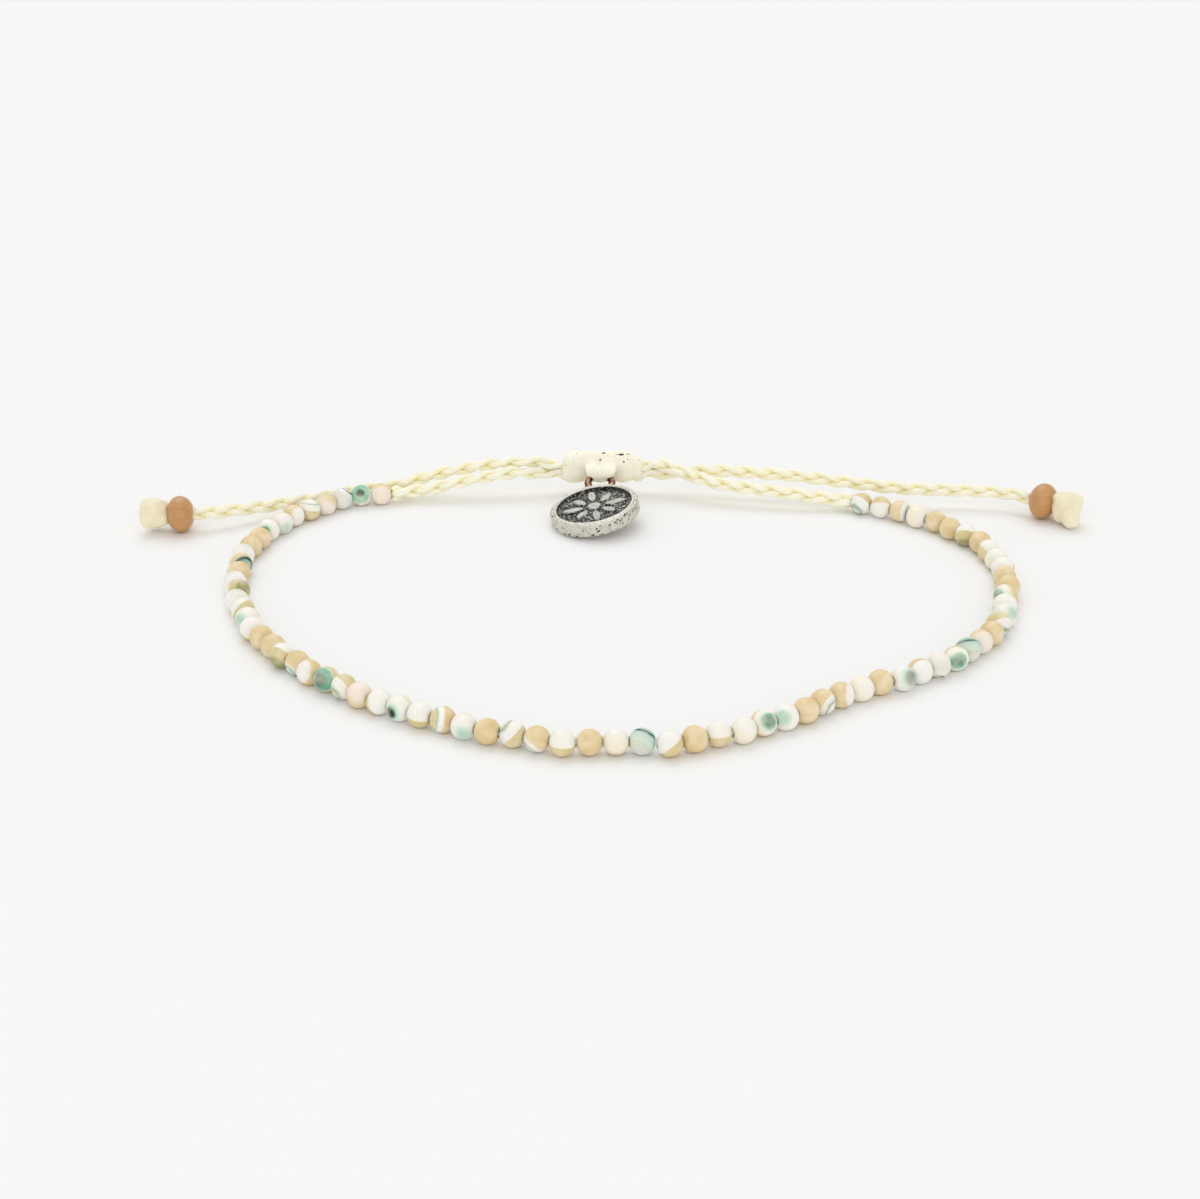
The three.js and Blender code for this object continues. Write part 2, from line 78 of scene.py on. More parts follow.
# A cord is thicker where it leaves the beads, and tapers at its very start.
START_BULK = 0.3
START_BULK_REACH = 2.2
START_TAPER = 0.6
# How far the cords run straight past the knot's ends, and their points inside it.
KNOT_MOUTH = 0.8
KNOT_WAYS = (-1, -0.85, 0.85, 1)

# Sliding knot
KNOT_LENGTH = 12.2
KNOT_HALF_DEPTH = 1.531
WRAP_HALF_DEPTH = 1.12
WRAP_HALF_HEIGHT = 1.92
WRAP_FULLNESS = 2.3
WRAP_SIDES = 24
WRAP_STEPS = 72
KNOT_BODY_SIDES = 48
KNOT_VOXEL = 0.08
KNOT_LUMPS = 0.08
FORM_SMOOTHING = 12
BODY_RAISE = (0.1, 0.39)
# The knot's body under its turns: x, half height, how far it is raised.
KNOT_BODY = [
    (-6.25, 0.5, -0.05), (-6.1, 1.0, -0.05), (-5.7, 1.6, 0), (-5.0, 2.08, 0), (-3.8, 2.32, 0.02),
    (-2.2, 2.38, 0.04), (0, 2.4, 0.04), (2.2, 2.38, 0.02), (3.6, 2.25, -0.03), (4.6, 1.9, -0.15),
    (5.4, 1.45, -0.32), (6.0, 1.0, -0.45), (6.25, 0.5, -0.5),
]
KNOT_OFFSET = 0.5
FRONT_TURN_RADIUS = 0.8
FRONT_TURN_STEPS = 60
# A front turn from its top: y, z and how both change with its height over the other turn.
FRONT_TURN_TOP = [(0.3, 1.7, 0, 0), (-0.2, 1.6, 0, 1), (-0.7, 1.32, -0.5, 1), (-1.25, 1.02, -0.5, 1)]
# Then its angles round the ring's wire, in degrees, and its end in the body: y, z.
FRONT_TURN_ANGLES = (75, 50, 25, 0, -25, -47, -65, -90, -125)
FRONT_TURN_END = (-0.95, -0.9)
# Half thickness of a front turn by the share of its way: sunk in the body, then free round the wire.
FRONT_TURN_THICKNESS = ((0, 0.15, 0.24, 0.36), (0.8, 0.76, 0.58, 0.36))
# The cord's turns round the knot: middle, half width, slant, half thickness, inset, lift.
KNOT_WRAPS = [
    (-4.15, 1.9, 0.2, 0.95, 0.42, 0), (-1.4, 1.5, -0.2, 0.42, 0.1, 0), (0.6, 1.3, 0.3, 0.42, 0.1, 0),
    (2.75, 1.7, -0.2, 0.95, 0.45, 0), (4.9, 1.0, -0.25, 0.7, 0.7, -0.36),
]
# Two turns cross at its front and carry the ring: share of the way, x, half width.
UNDER_TURN = [
    (0, -1.7, 1.15), (0.3, -1.55, 1.1), (0.44, -1.4, 1.05), (0.53, -1.2, 0.95), (0.61, -0.95, 0.82),
    (0.69, -0.76, 0.68), (0.77, -0.62, 0.52), (0.86, -0.55, 0.42), (1, -0.5, 0.3),
]
OVER_TURN = [
    (0, 1.0, 1.25), (0.3, 0.6, 1.3), (0.44, 0.2, 1.3), (0.53, -0.05, 1.22), (0.61, -0.22, 1.05),
    (0.69, -0.34, 0.86), (0.77, -0.41, 0.64), (0.86, -0.45, 0.48), (1, -0.45, 0.3),
]
OVER_TURN_HEIGHT = 0.06
# Singed specks where the cord was sealed: x and height on the camera's plane, half width, half height.
SINGES = [
    (0.05, 2.28, 0.26, 0.12), (2.62, 2.05, 0.4, 0.17), (2.0, 2.02, 0.3, 0.05), (3.6, 2.12, 0.34, 0.06),
    (-5.5, 0.4, 0.07, 0.06), (-4.4, 0.9, 0.05, 0.05), (-3.1, 1.4, 0.05, 0.07), (5.2, 1.3, 0.06, 0.06),
    (-0.45, 1.25, 0.16, 0.13), (2.98, 0.95, 0.14, 0.12), (3.5, 1.3, 0.08, 0.08), (-3.9, 2.2, 0.1, 0.05),
]

# Jump ring
RING_DIAMETER = 4.55
RING_WIRE = 0.85
RING_FLAT = 0.2
RING_HANG = math.radians(22)
RING_CLEARANCE = 0.13
RING_ENDS = np.radians((-52, 304))
RING_STEPS = 120
RING_SIDES = 20

# Charm
CHARM_RADIUS = 6.4
CHARM_THICKNESS = 1.9
CHARM_RIM = 0.95
CHARM_RECESS = 0.55
CHARM_RELIEF = 0.34
CHARM_EDGE = 0.22
CHARM_ROUND = 0.34
CHARM_SIDES = 288
FIELD_RINGS = 104
FIELD_SHIFT = 0.2
# The rim from its crown inwards: how far outside its inner edge and above its top. The second is a groove.
RIM_PROFILE = [(0.56, 0), (0.38, -0.13), (0.2, -0.01), (0.1, 0), (0.02, -0.05)]
# The rim's foot: how far outside its inner edge and above the field.
RIM_FOOT = [(-0.03, 0.3), (-0.08, 0.05)]
# The rosette, in shares of the rim's inner radius.
PETALS = 8
PETAL_TURN = 0.2
PETAL_REACHES = (0.86, 0.72)
PETAL_START = 0.3
PETAL_HALF_WIDTH = 0.13
CHARM_TILT = math.radians(11.6)
CHARM_LEAN = math.radians(202)
CHARM_PLAN = (-0.55, 25.4)
BAIL_WIRE = 0.54
BAIL_HEIGHT = 0.3
BAIL_TURN = math.radians(-6)
BAIL_STEPS = 48
BAIL_SIDES = 16

# Wooden beads and end knots
WOOD_DIAMETER = 5.15
WOOD_LENGTH = 3.75
WOOD_BORE = 2.3
WOOD_ROUNDNESS = 0.88
WOOD_HALF_SHARE = 0.47
WOOD_SIDES = 56
END_KNOT_DIAMETER = 4.5
END_KNOT_REACH = 3.65
END_KNOT_TURN = 0.92
END_KNOT_SWELL = 1.09
END_KNOT_DEPTH = 0.95
END_KNOT_SIDES = 20
END_KNOT_VOXEL = 0.09
END_KNOT_LUMPS = 0.12
HEART_INSET = 0.28
HEART_SIDES = 32
# The cord's cut end: share of the way from the knot's middle to its tip, radius.
STUB = [(0.2, 1.5), (0.5, 1.35), (0.8, 1.05), (0.95, 0.75), (1.0, 0.4)]

# Camera: it looks down at the middle of the plan.
CAMERA_DISTANCE = 257
CAMERA_ELEVATION = math.radians(25)
CAMERA_LENS = 58.95
CAMERA_SENSOR = 36

# Directions. The last two belong to the camera's picture: towards it, and up in it.
RIGHT = np.array([1.0, 0, 0])
BACK = np.array([0, 1.0, 0])
UP = np.array([0, 0, 1.0])
NEARER = np.array([0, -math.cos(CAMERA_ELEVATION), math.sin(CAMERA_ELEVATION)])
ABOVE = np.array([0, math.sin(CAMERA_ELEVATION), math.cos(CAMERA_ELEVATION)])

# Studio: the floor's half width in metres, and the lamps with their strength, spread in degrees,
# colour and the side their light comes from.
FLOOR_HALF_WIDTH = 3.0
ROOM_COLOUR = (0.985, 0.975, 0.97, 1)
ROOM_LIGHT = 0.735
SUNS = {
    "soft_light": (0.8, 50, (0.94, 0.985, 1.0), (-0.12, 0.6, 1)),
    "front_fill": (0.8, 90, (1.0, 0.97, 0.92), (0.1, -1, 0.35)),
}

# Chosen points of the string of beads, seen from above, from its left end to its right end.
STRING_ROUTE = [
    (-30.4, 33.2), (-34.6, 32.8), (-39.6, 29.4), (-43.6, 24.4), (-46.8, 17.9), (-48.2, 10.9),
    (-48.0, 3.4), (-46.4, -4.2), (-43.4, -11.6), (-39.1, -18.4), (-33.4, -24.8), (-26.6, -30.6),
    (-19.0, -35.2), (-10.4, -39.1), (-1.5, -40.8), (7.0, -40.7), (15.2, -38.4), (22.6, -34.0),
    (30.2, -28.2), (38.2, -23.8), (44.9, -18.0), (50.0, -10.8), (52.6, -2.4), (53.7, 6.2),
    (52.4, 14.6), (47.9, 21.9), (42.2, 26.9), (36.5, 30.4),
]

# Chosen points of the cords: x, y, height above a cord that lies on the table, and the turn of
# the braid's flat side from facing up, at 0, to facing the front, at 90.
LEFT_CORD_TO_KNOT = [
    (-28.9, 33.6, 0.5, 105), (-24.6, 34.2, 0.95, 110), (-20.3, 34.9, 1.75, 118),
    (-16.0, 35.5, 2.35, 120), (-12.4, 36.1, 2.72, 121), (-9.3, 36.75, 2.3, 145),
]
LEFT_CORD_TAIL = [
    (9.0, 37.75, 1.95, 206), (11.2, 37.65, 2.05, 234), (13.6, 37.2, 2.4, 258),
    (16.4, 36.7, 2.75, 275), (22.6, 35.9, 2.75, 275), (29.1, 35.3, 2.43, 260),
    (36.3, 33.9, 2.05, 250), (43.5, 32.2, 1.8, 245), (52.0, 31.8, 1.6, 245),
    (58.4, 30.9, 1.55, 245),
]
RIGHT_CORD_TO_KNOT = [
    (32.5, 30.9, 0.75, 65), (29.1, 31.2, 1.15, 70), (22.7, 32.2, 1.65, 85),
    (16.4, 33.8, 2.05, 95), (13.6, 35.0, 2.55, 78), (11.2, 36.1, 3.1, 54),
    (9.0, 36.95, 3.55, 26),
]
RIGHT_CORD_TAIL = [
    (-9.3, 37.75, 3.77, -35), (-12.4, 37.6, 3.6, -59), (-16.0, 37.4, 3.5, -60),
    (-20.3, 37.0, 2.9, -62), (-24.6, 36.7, 2.1, -70), (-28.9, 36.4, 0.7, -85),
    (-32.0, 36.2, 0.2, -95), (-35.2, 35.6, 0.08, -100), (-38.6, 33.9, 0.08, -105),
    (-42.6, 31.1, 0.35, -110), (-47.0, 28.2, 0.75, -115), (-51.0, 25.8, 1.1, -115),
    (-55.3, 23.6, 1.45, -115),
]
LEFT_WOOD_SPOT = (-59.1, 23.0)
RIGHT_WOOD_SPOT = (63.4, 27.8)

# The plan above has its own origin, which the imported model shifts.
wood_low, wood_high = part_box("wood_bead_left")
wood_middle = np.array((wood_low + wood_high) / 2) / MM
PLAN_SHIFT = np.array([wood_middle[0] - LEFT_WOOD_SPOT[0], wood_middle[1] - LEFT_WOOD_SPOT[1], 0.0])


def unit(v):
    return v / np.linalg.norm(v)


def smooth_step(low, high, x):
    t = np.clip((np.asarray(x, float) - low) / (high - low), 0, 1)
    return t * t * (3 - 2 * t)


def lumps_at(points, scale):
    """Smooth noise at each point, from about -1 to 1."""
    return np.array([noise.noise(Vector(p) * scale) for p in points])


class Path:
    """Places in a row, read by the distance along them."""

    def __init__(self, places):
        self.places = places
        steps = np.linalg.norm(np.diff(places, axis=0), axis=1)
        self.distances = np.concatenate([[0], np.cumsum(steps)])
        self.length = self.distances[-1]

    def place(self, distance):
        return np.array([np.interp(distance, self.distances, self.places[:, k]) for k in range(3)])


class Line(Path):
    """A smooth line through chosen points."""

    def __init__(self, points, rolls=None, samples=40):
        points = np.array(points, float)
        spans = len(points) - 1
        padded = np.vstack([2 * points[0] - points[1], points, 2 * points[-1] - points[-2]])
        places, shares = [], []
        for i in range(spans):
            a, b, c, d = padded[i:i + 4]
            before, here, after = (np.sum((q - p) ** 2) ** 0.25 for p, q in ((a, b), (b, c), (c, d)))
            start = ((b - a) / before - (c - a) / (before + here) + (c - b) / here) * here
            end = ((c - b) / here - (d - b) / (here + after) + (d - c) / after) * here
            w = np.linspace(0, 1, samples, endpoint=False)[:, None]
            cubic = (2 * b - 2 * c + start + end) * w ** 3
            places.append(b + start * w + (-3 * b + 3 * c - 2 * start - end) * w ** 2 + cubic)
            shares.append(i + w[:, 0])
        super().__init__(np.vstack([*places, points[-1:]]))
        self.shares = np.append(np.concatenate(shares), spans)
        self.rolls = rolls

    def ahead(self, distance, reach=0.15):
        start = self.place(max(distance - reach, 0))
        return unit(self.place(min(distance + reach, self.length)) - start)

    def roll(self, distance):
        share = np.interp(distance, self.distances, self.shares)
        return math.radians(np.interp(share, range(len(self.rolls)), self.rolls))


def ring_of_points(centre, side, up, half_side, half_up, sides):
    angles = np.linspace(0, 2 * math.pi, sides, endpoint=False)[:, None]
    return centre + side * half_side * np.cos(angles) + up * half_up * np.sin(angles)


def skin(rings, closed=False):
    """Points and faces of the surface over rings of points, which have the same count."""
    rings = np.asarray(rings, float)
    count, sides = rings.shape[:2]
    faces = []
    for i in range(count if closed else count - 1):
        here, there = i * sides, (i + 1) % count * sides
        for j in range(sides):
            k = (j + 1) % sides
            faces.append((here + j, here + k, there + k, there + j))
    if not closed:
        faces.append(tuple(reversed(range(sides))))
        faces.append(tuple(range((count - 1) * sides, count * sides)))
    return rings.reshape(-1, 3), faces


def join(parts):
    """One set of points and faces from several."""
    points, faces, start = [], [], 0
    for part_points, part_faces in parts:
        points.append(part_points)
        faces += [tuple(start + i for i in face) for face in part_faces]
        start += len(part_points)
    return np.vstack(points), faces


def add_object(name, data):
    made = bpy.data.objects.new(name, data)
    bpy.context.scene.collection.objects.link(made)
    return made


def turn_towards(way):
    """The turn of a camera or lamp that points that way."""
    return way.to_track_quat("-Z", "Y").to_euler()


def add_piece(name, surface, materials, replaced=None, layers=None, looks=None):
    """A mesh object that rides on the CAD and stands for one of its nodes."""
    points, faces = surface
    mesh = bpy.data.meshes.new(name)
    mesh.from_pydata(((points + PLAN_SHIFT) * MM).tolist(), [], faces)
    for layer, values in (layers or {}).items():
        attribute = mesh.attributes.new(layer, "FLOAT", "POINT")
        attribute.data.foreach_set("value", np.asarray(values, np.float32))
    for material in materials:
        mesh.materials.append(material)
    if looks is not None:
        mesh.polygons.foreach_set("material_index", looks)
    mesh.shade_smooth()
    mesh.update()
    piece = add_object(name, mesh)
    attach(piece, "root")
    if replaced:
        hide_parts(replaced)


def add_camera():
    camera = bpy.data.cameras.new("camera")
    camera.lens = CAMERA_LENS
    camera.sensor_width = CAMERA_SENSOR
    camera.clip_start = 0.01
    camera.clip_end = 20
    view = add_object("camera", camera)
    view.location = Vector(PLAN_SHIFT * MM) + Vector(NEARER) * CAMERA_DISTANCE * MM
    view.rotation_euler = turn_towards(-Vector(NEARER))
    bpy.context.scene.camera = view


# Materials: colours are written as they look on a screen, from 0 to 255.
def paint(colour):
    shares = [c / 255 for c in colour]
    linear = [c / 12.92 if c <= 0.04045 else ((c + 0.055) / 1.055) ** 2.4 for c in shares]
    return (*linear, 1.0)


class Finish:
    """A material whose nodes are added one by one."""

    def __init__(self, name, roughness, metallic=0.0):
        self.material = bpy.data.materials.new(name)
        self.material.use_nodes = True
        self.tree = self.material.node_tree
        self.shader = self.tree.nodes["Principled BSDF"]
        self.shader.inputs["Metallic"].default_value = metallic
        self.shader.inputs["Roughness"].default_value = roughness
        self.coordinates = self.add("ShaderNodeTexCoord").outputs["Object"]

    def fill(self, node, inputs):
        for key, value in inputs.items():
            socket = node.inputs[int(key[1:]) if key[0] == "_" else key.replace("_", " ")]
            if isinstance(value, bpy.types.NodeSocket):
                self.tree.links.new(value, socket)
            else:
                socket.default_value = value

    def add(self, kind, settings=None, **inputs):
        node = self.tree.nodes.new(kind)
        for key, value in (settings or {}).items():
            setattr(node, key, value)
        self.fill(node, inputs)
        return node

    def shade(self, **inputs):
        self.fill(self.shader, inputs)

    def noise(self, size, detail=2.0, stretch=None, distortion=0.0):
        """Noise whose blots are about that many millimetres wide."""
        vector = self.coordinates
        if stretch:
            vector = self.add("ShaderNodeMapping", Vector=vector, Scale=stretch).outputs[0]
        node = self.add("ShaderNodeTexNoise", Vector=vector, Scale=1 / (size * MM), Detail=detail,
                        Distortion=distortion)
        return node.outputs["Fac"]

    def layer(self, name):
        return self.add("ShaderNodeAttribute", {"attribute_name": name}).outputs["Fac"]

    def math(self, operation, first, second=0.0):
        return self.add("ShaderNodeMath", {"operation": operation}, _0=first, _1=second).outputs[0]

    def spread(self, value, low, high, start=0.0, end=1.0):
        return self.add("ShaderNodeMapRange", Value=value, From_Min=low, From_Max=high, To_Min=start,
                        To_Max=end).outputs[0]

    def mix(self, factor, first, second):
        first, second = (paint(c) if isinstance(c, tuple) else c for c in (first, second))
        node = self.add("ShaderNodeMix", {"data_type": "RGBA"}, _0=factor, _6=first, _7=second)
        return node.outputs[2]

    def ramp(self, factor, stops):
        node = self.add("ShaderNodeValToRGB", Fac=factor)
        elements = node.color_ramp.elements
        elements.remove(elements[1])
        elements[0].position, elements[0].color = stops[0][0], paint(stops[0][1])
        for position, colour in stops[1:]:
            elements.new(position).color = paint(colour)
        return node.outputs[0]

    def bump(self, height, distance, strength, **below):
        node = self.add("ShaderNodeBump", Height=height, Distance=distance * MM, Strength=strength, **below)
        return node.outputs[0]


BEIGE = (223, 200, 149)
PEACH = (232, 210, 167)
OLIVE = (214, 200, 146)
MOSS = (166, 162, 112)
CREAM = (246, 238, 220)
WHITE = (245, 243, 238)
PINK = (243, 230, 220)
MINT = (205, 230, 217)
GREEN = (140, 198, 168)
LEAF = (104, 170, 140)
TEAL = (132, 186, 174)
DEEP = (40, 74, 58)
BLACK = (22, 28, 24)
SLATE = (160, 176, 182)
GREY = (222, 224, 218)

# Layers of the shell from one side of a bead, at -1, to the other, at 1.
SHELL_LOOKS = {
    "beige": [(-1, OLIVE), (-0.5, BEIGE), (0.2, BEIGE), (0.6, PEACH), (1, BEIGE)],
    "pink": [(-1, BEIGE), (-0.1, PEACH), (0.35, PINK)],
    "white": [(-1, CREAM), (-0.2, WHITE), (0.7, WHITE), (1, GREY)],
    "cream": [(-1, OLIVE), (-0.5, CREAM), (0.3, CREAM), (1, WHITE)],
    "half": [(-1, BEIGE), (-0.12, OLIVE), (-0.02, CREAM), (0.05, WHITE)],
    "edge": [(0.42, BEIGE), (0.5, PINK), (0.8, WHITE)],
    "dark_edge": [(-1, BEIGE), (0.34, PEACH), (0.4, WHITE), (0.7, GREY), (0.76, SLATE), (0.81, MOSS),
        (0.85, GREY), (1, WHITE)],
    "thin_arc": [(0.3, BEIGE), (0.62, PEACH), (0.74, MINT), (0.82, GREEN), (0.86, DEEP), (0.9, MINT)],
    "green_patch": [(0.3, BEIGE), (0.4, MINT), (0.5, (122, 186, 160)), (0.84, (106, 172, 144)),
        (0.93, (72, 122, 98)), (1, (60, 98, 80))],
    "half_dark_edge": [(-0.06, OLIVE), (0.02, WHITE), (0.6, WHITE), (0.74, MINT), (0.82, SLATE),
        (0.9, MOSS), (1, MINT)],
    "green_cap": [(-1, BEIGE), (-0.2, CREAM), (0.2, WHITE), (0.5, MINT), (0.62, GREEN), (0.9, GREEN),
        (0.955, LEAF), (0.99, DEEP)],
    "green_spot": [(-1, BEIGE), (0, OLIVE), (0.3, CREAM), (0.62, WHITE), (0.76, MINT), (0.83, GREEN),
        (0.92, LEAF), (1, (60, 128, 102))],
    "dark_spot": [(-1, BEIGE), (0.1, WHITE), (0.66, WHITE), (0.84, MINT), (0.91, GREEN), (0.95, DEEP),
        (0.99, BLACK)],
    "mint_spot": [(-1, OLIVE), (-0.3, CREAM), (0.2, WHITE), (0.7, WHITE), (0.88, MINT),
        (1, (172, 212, 196))],
    "grey_spot": [(0.4, WHITE), (0.72, MINT), (0.86, (168, 190, 172)), (1, (140, 160, 140))],
    "teal_line": [(-1, BEIGE), (0, OLIVE), (0.12, WHITE), (0.56, WHITE), (0.66, TEAL), (0.74, WHITE)],
    "black_line": [(-1, GREY), (-0.45, (206, 214, 194)), (-0.35, MINT), (0.2, (196, 216, 204)),
        (0.36, TEAL), (0.43, BLACK), (0.52, BLACK), (0.58, TEAL), (1, MINT)],
    "rim_line": [(-1, WHITE), (0.4, GREY), (0.88, WHITE), (0.91, BLACK), (0.95, BLACK), (0.97, WHITE)],
    "dark_foot": [(-0.2, WHITE), (0, BEIGE), (0.42, BEIGE), (0.5, TEAL), (0.56, DEEP), (0.74, DEEP),
        (0.82, TEAL), (1, BEIGE)],
    "olive": [(-0.1, WHITE), (0.02, OLIVE), (0.6, OLIVE), (0.78, MOSS)],
    "stripe": [(0.1, BEIGE), (0.2, WHITE), (0.48, WHITE), (0.56, MINT), (0.62, GREEN), (0.7, BEIGE)],
}

# The look of each bead from the left end, and the way its last layer faces: right, up, nearer.
BEADS = [
    ("pink", 0, -0.6, 0.6), ("green_cap", 0.05, 0.2, 0.97), ("rim_line", 0.62, 0.78, 0.1),
    ("pink", -0.2, -0.8, 0.5), ("teal_line", 0.15, 0.95, 0.2), ("edge", 0.8, -0.2, 0.5),
    ("mint_spot", 0.56, -0.56, 0.6), ("dark_spot", -0.2, -0.2, 0.92), ("beige", 0.3, 0.8, 0.4),
    ("beige", -0.6, 0.5, 0.5), ("white", 0.2, 0.9, 0.3), ("dark_foot", 0.5, -0.3, 0.7),
    ("beige", 0.2, 0.9, 0.2), ("white", -0.3, 0.9, 0.3), ("olive", 0.6, 0.2, 0.5),
    ("white", 0.2, 0.8, 0.6), ("olive", 0.7, -0.6, 0.3), ("mint_spot", -0.55, -0.15, 0.8),
    ("half", 0.1, 0.6, 0.7), ("beige", 0.4, 0.5, 0.7), ("beige", 0.1, -0.7, 0.7),
    ("olive", -0.4, -0.7, 0.4), ("thin_arc", -0.6, -0.65, 0.2), ("edge", -0.7, 0.1, 0.6),
    ("green_patch", -0.45, 0, 0.88), ("half_dark_edge", -0.7, -0.6, 0.3), ("pink", 0.3, 0.7, 0.6),
    ("half", 0.6, 0.1, 0.6), ("dark_spot", -0.6, -0.3, 0.7), ("half", 0.1, 0.8, 0.4),
    ("stripe", -0.9, 0.1, 0.3), ("mint_spot", 0, -0.58, 0.8), ("beige", 0.3, 0.6, 0.6),
    ("half_dark_edge", -0.68, 0.7, 0.1), ("dark_edge", -0.62, -0.72, -0.12), ("half", 0.05, 0.9, 0.3),
    ("beige", -0.2, 0.7, 0.6), ("cream", 0, 0.95, 0.2), ("black_line", 0.42, 0.8, -0.42),
    ("half", -0.6, 0.75, 0.2), ("beige", 0.5, 0.5, 0.6), ("half", -0.05, 0.95, 0.2),
    ("cream", 0.3, 0.5, 0.7), ("green_spot", 0.41, 0.2, 0.88), ("mint_spot", -0.35, 0, 0.9),
    ("beige", 0.2, 0.8, 0.5), ("dark_edge", 0.75, -0.5, 0.3), ("edge", 0.93, 0, 0.2),
    ("cream", 0.7, 0.3, 0.6), ("beige", -0.4, 0.6, 0.7), ("grey_spot", 0.64, 0.08, 0.75),
    ("half", 0.4, -0.5, 0.7), ("rim_line", 0, -0.95, 0.1), ("green_spot", 0.1, -0.2, 0.95),
    ("black_line", -0.1, 0.9, -0.4), ("pink", 0.2, -0.4, 0.8), ("beige", 0.6, 0.3, 0.6),
    ("half_dark_edge", 0.3, -0.8, 0.4), ("mint_spot", 0.5, 0.2, 0.7), ("half", 0.1, 0.8, 0.5),
    ("green_spot", -0.85, 0, 0.45), ("beige", 0.4, 0.6, 0.6), ("beige", 0.7, -0.1, 0.5),
    ("half", -0.6, 0.5, 0.5), ("cream", 0.2, 0.7, 0.6), ("half", 0.6, 0.7, 0.2),
    ("beige", 0.4, 0.8, 0.4), ("olive", -0.2, -0.9, 0.3), ("beige", 0.2, 0.9, 0.4),
    ("beige", -0.5, 0.6, 0.6), ("cream", 0.6, -0.3, 0.7), ("dark_edge", 0.8, -0.2, 0.4),
    ("half", -0.1, -0.85, 0.3), ("half_dark_edge", -0.6, -0.72, 0.3),
]


def shell_finish(look, stops):
    finish = Finish("shell_" + look, 0.42)
    drift = finish.spread(finish.noise(0.9, 2, distortion=0.4), 0.2, 0.8, -0.05, 0.05)
    layer = finish.math("ADD", finish.layer("shell_layer"), drift)
    colour = finish.ramp(finish.spread(layer, -1, 1), [((t + 1) / 2, c) for t, c in stops])
    cloud = finish.spread(finish.noise(1.7, 3), 0.38, 0.72, 0.0, 0.5)
    colour = finish.mix(cloud, colour, (246, 236, 216))
    grain = finish.noise(0.14, 4)
    finish.shade(
        Base_Color=colour,
        Roughness=finish.spread(grain, 0.3, 0.7, 0.34, 0.48),
        Normal=finish.bump(grain, 0.01, 0.5),
        Subsurface_Weight=0.5,
        Subsurface_Radius=(1.0, 0.78, 0.45),
        Subsurface_Scale=1.0 * MM,
    )
    return finish.material


def cord_finish(name, stops):
    """Waxed cord with fine twisted fibres: paler on its crowns, yellower and darker in its creases, which is
    painted crease shade.
    """
    finish = Finish(name, 0.5)
    blots = finish.noise(1.3, 3)
    # Painted shade: through the ramp's low end, the crown layer darkens and yellows the creases between
    # strands and turns.
    crown = finish.math("ADD", finish.layer("crown"), finish.spread(blots, 0.2, 0.8, -0.07, 0.07))
    colour = finish.ramp(crown, stops)
    fibres = finish.math("SINE", finish.math("MULTIPLY", finish.layer("twist"), 2 * math.pi))
    colour = finish.mix(finish.spread(fibres, -1, 1, 0.0, 0.12), colour, stops[0][1])
    colour = finish.mix(finish.layer("singe"), colour, BLACK)
    waves = finish.bump(fibres, 0.016, 0.6)
    finish.shade(
        Base_Color=colour,
        Roughness=finish.spread(finish.noise(0.4, 3), 0.3, 0.7, 0.42, 0.62),
        Normal=finish.bump(finish.noise(0.16, 4), 0.016, 0.6, Normal=waves),
        Subsurface_Weight=0.4,
        Subsurface_Radius=(1.0, 0.9, 0.6),
        Subsurface_Scale=0.9 * MM,
        Sheen_Weight=0.45,
        Sheen_Roughness=0.5,
        Sheen_Tint=(1.0, 0.94, 0.8, 1.0),
    )
    return finish.material


def bead_surfaces():
    """The beads' surface with the layer of the shell at each point and the look of each face."""
    names = list(SHELL_LOOKS)
    radius = BEAD_DIAMETER / 2
    full_radius = radius * BEAD_FULLNESS
    face = BEAD_PITCH / 2 - BEAD_FACE_GAP
    hole_angle = math.asin(BEAD_HOLE / BEAD_DIAMETER)
    turns = np.linspace(hole_angle, math.pi - hole_angle, BEAD_RINGS)
    parts, layers, looks = [], [], []
    for i, (look, right_share, up_share, near_share) in enumerate(BEADS):
        distance = (i + 0.5) * BEAD_PITCH
        ahead = string_line.ahead(distance)
        side = unit(np.cross(UP, ahead))
        centre = string_line.place(distance) + side * bead_shift(i)
        width = 1 + BEAD_UNEVENNESS[0] * math.sin(i * 1.9)
        height = 1 + BEAD_UNEVENNESS[1] * math.sin(i * 2.7 + 1)
        rings = []
        for turn in turns:
            reach = full_radius * math.sin(turn)
            along = min(max(full_radius * math.cos(turn), -face), face)
            middle = centre - ahead * along
            rings.append(ring_of_points(middle, side, UP, reach * width, reach * height, BEAD_SIDES))
        points, faces = skin(rings, closed=True)
        points[:, 2] = np.maximum(points[:, 2], 0)
        facing = unit(RIGHT * right_share + ABOVE * up_share + NEARER * near_share)
        parts.append((points, faces))
        layers.append((points - centre) @ facing / radius)
        looks += [names.index(look)] * len(faces)
    return join(parts), np.concatenate(layers), looks


def bead_shift(index):
    """How far a bead stands off the string's line: the ripple of the string and a few loose beads."""
    ripple = BEAD_WOBBLE * BEAD_DIAMETER * math.sin(index * 2.35 + 0.8 * math.sin(index * 0.9))
    return ripple + LOOSE_BEADS.get(index, 0.0)


string_line = Line([(x, y, BEAD_DIAMETER / 2) for x, y in STRING_ROUTE])
BEAD_COUNT = round(string_line.length / (BEAD_DIAMETER * BEAD_SPACING))
BEAD_PITCH = string_line.length / BEAD_COUNT


def add_beads():
    surface, layer, looks = bead_surfaces()
    finishes = [shell_finish(look, stops) for look, stops in SHELL_LOOKS.items()]
    add_piece("shell_beads", surface, finishes, "bead_string",
              layers={"shell_layer": layer}, looks=looks)


def fibre_turns(count, sides, spacing, twist):
    """The turn of the fibres round a tube, for each of its points."""
    along = np.repeat(np.arange(count) * spacing, sides)
    around = np.tile(np.arange(sides) / sides, count)
    return twist * around + along / FIBRE_SPACING


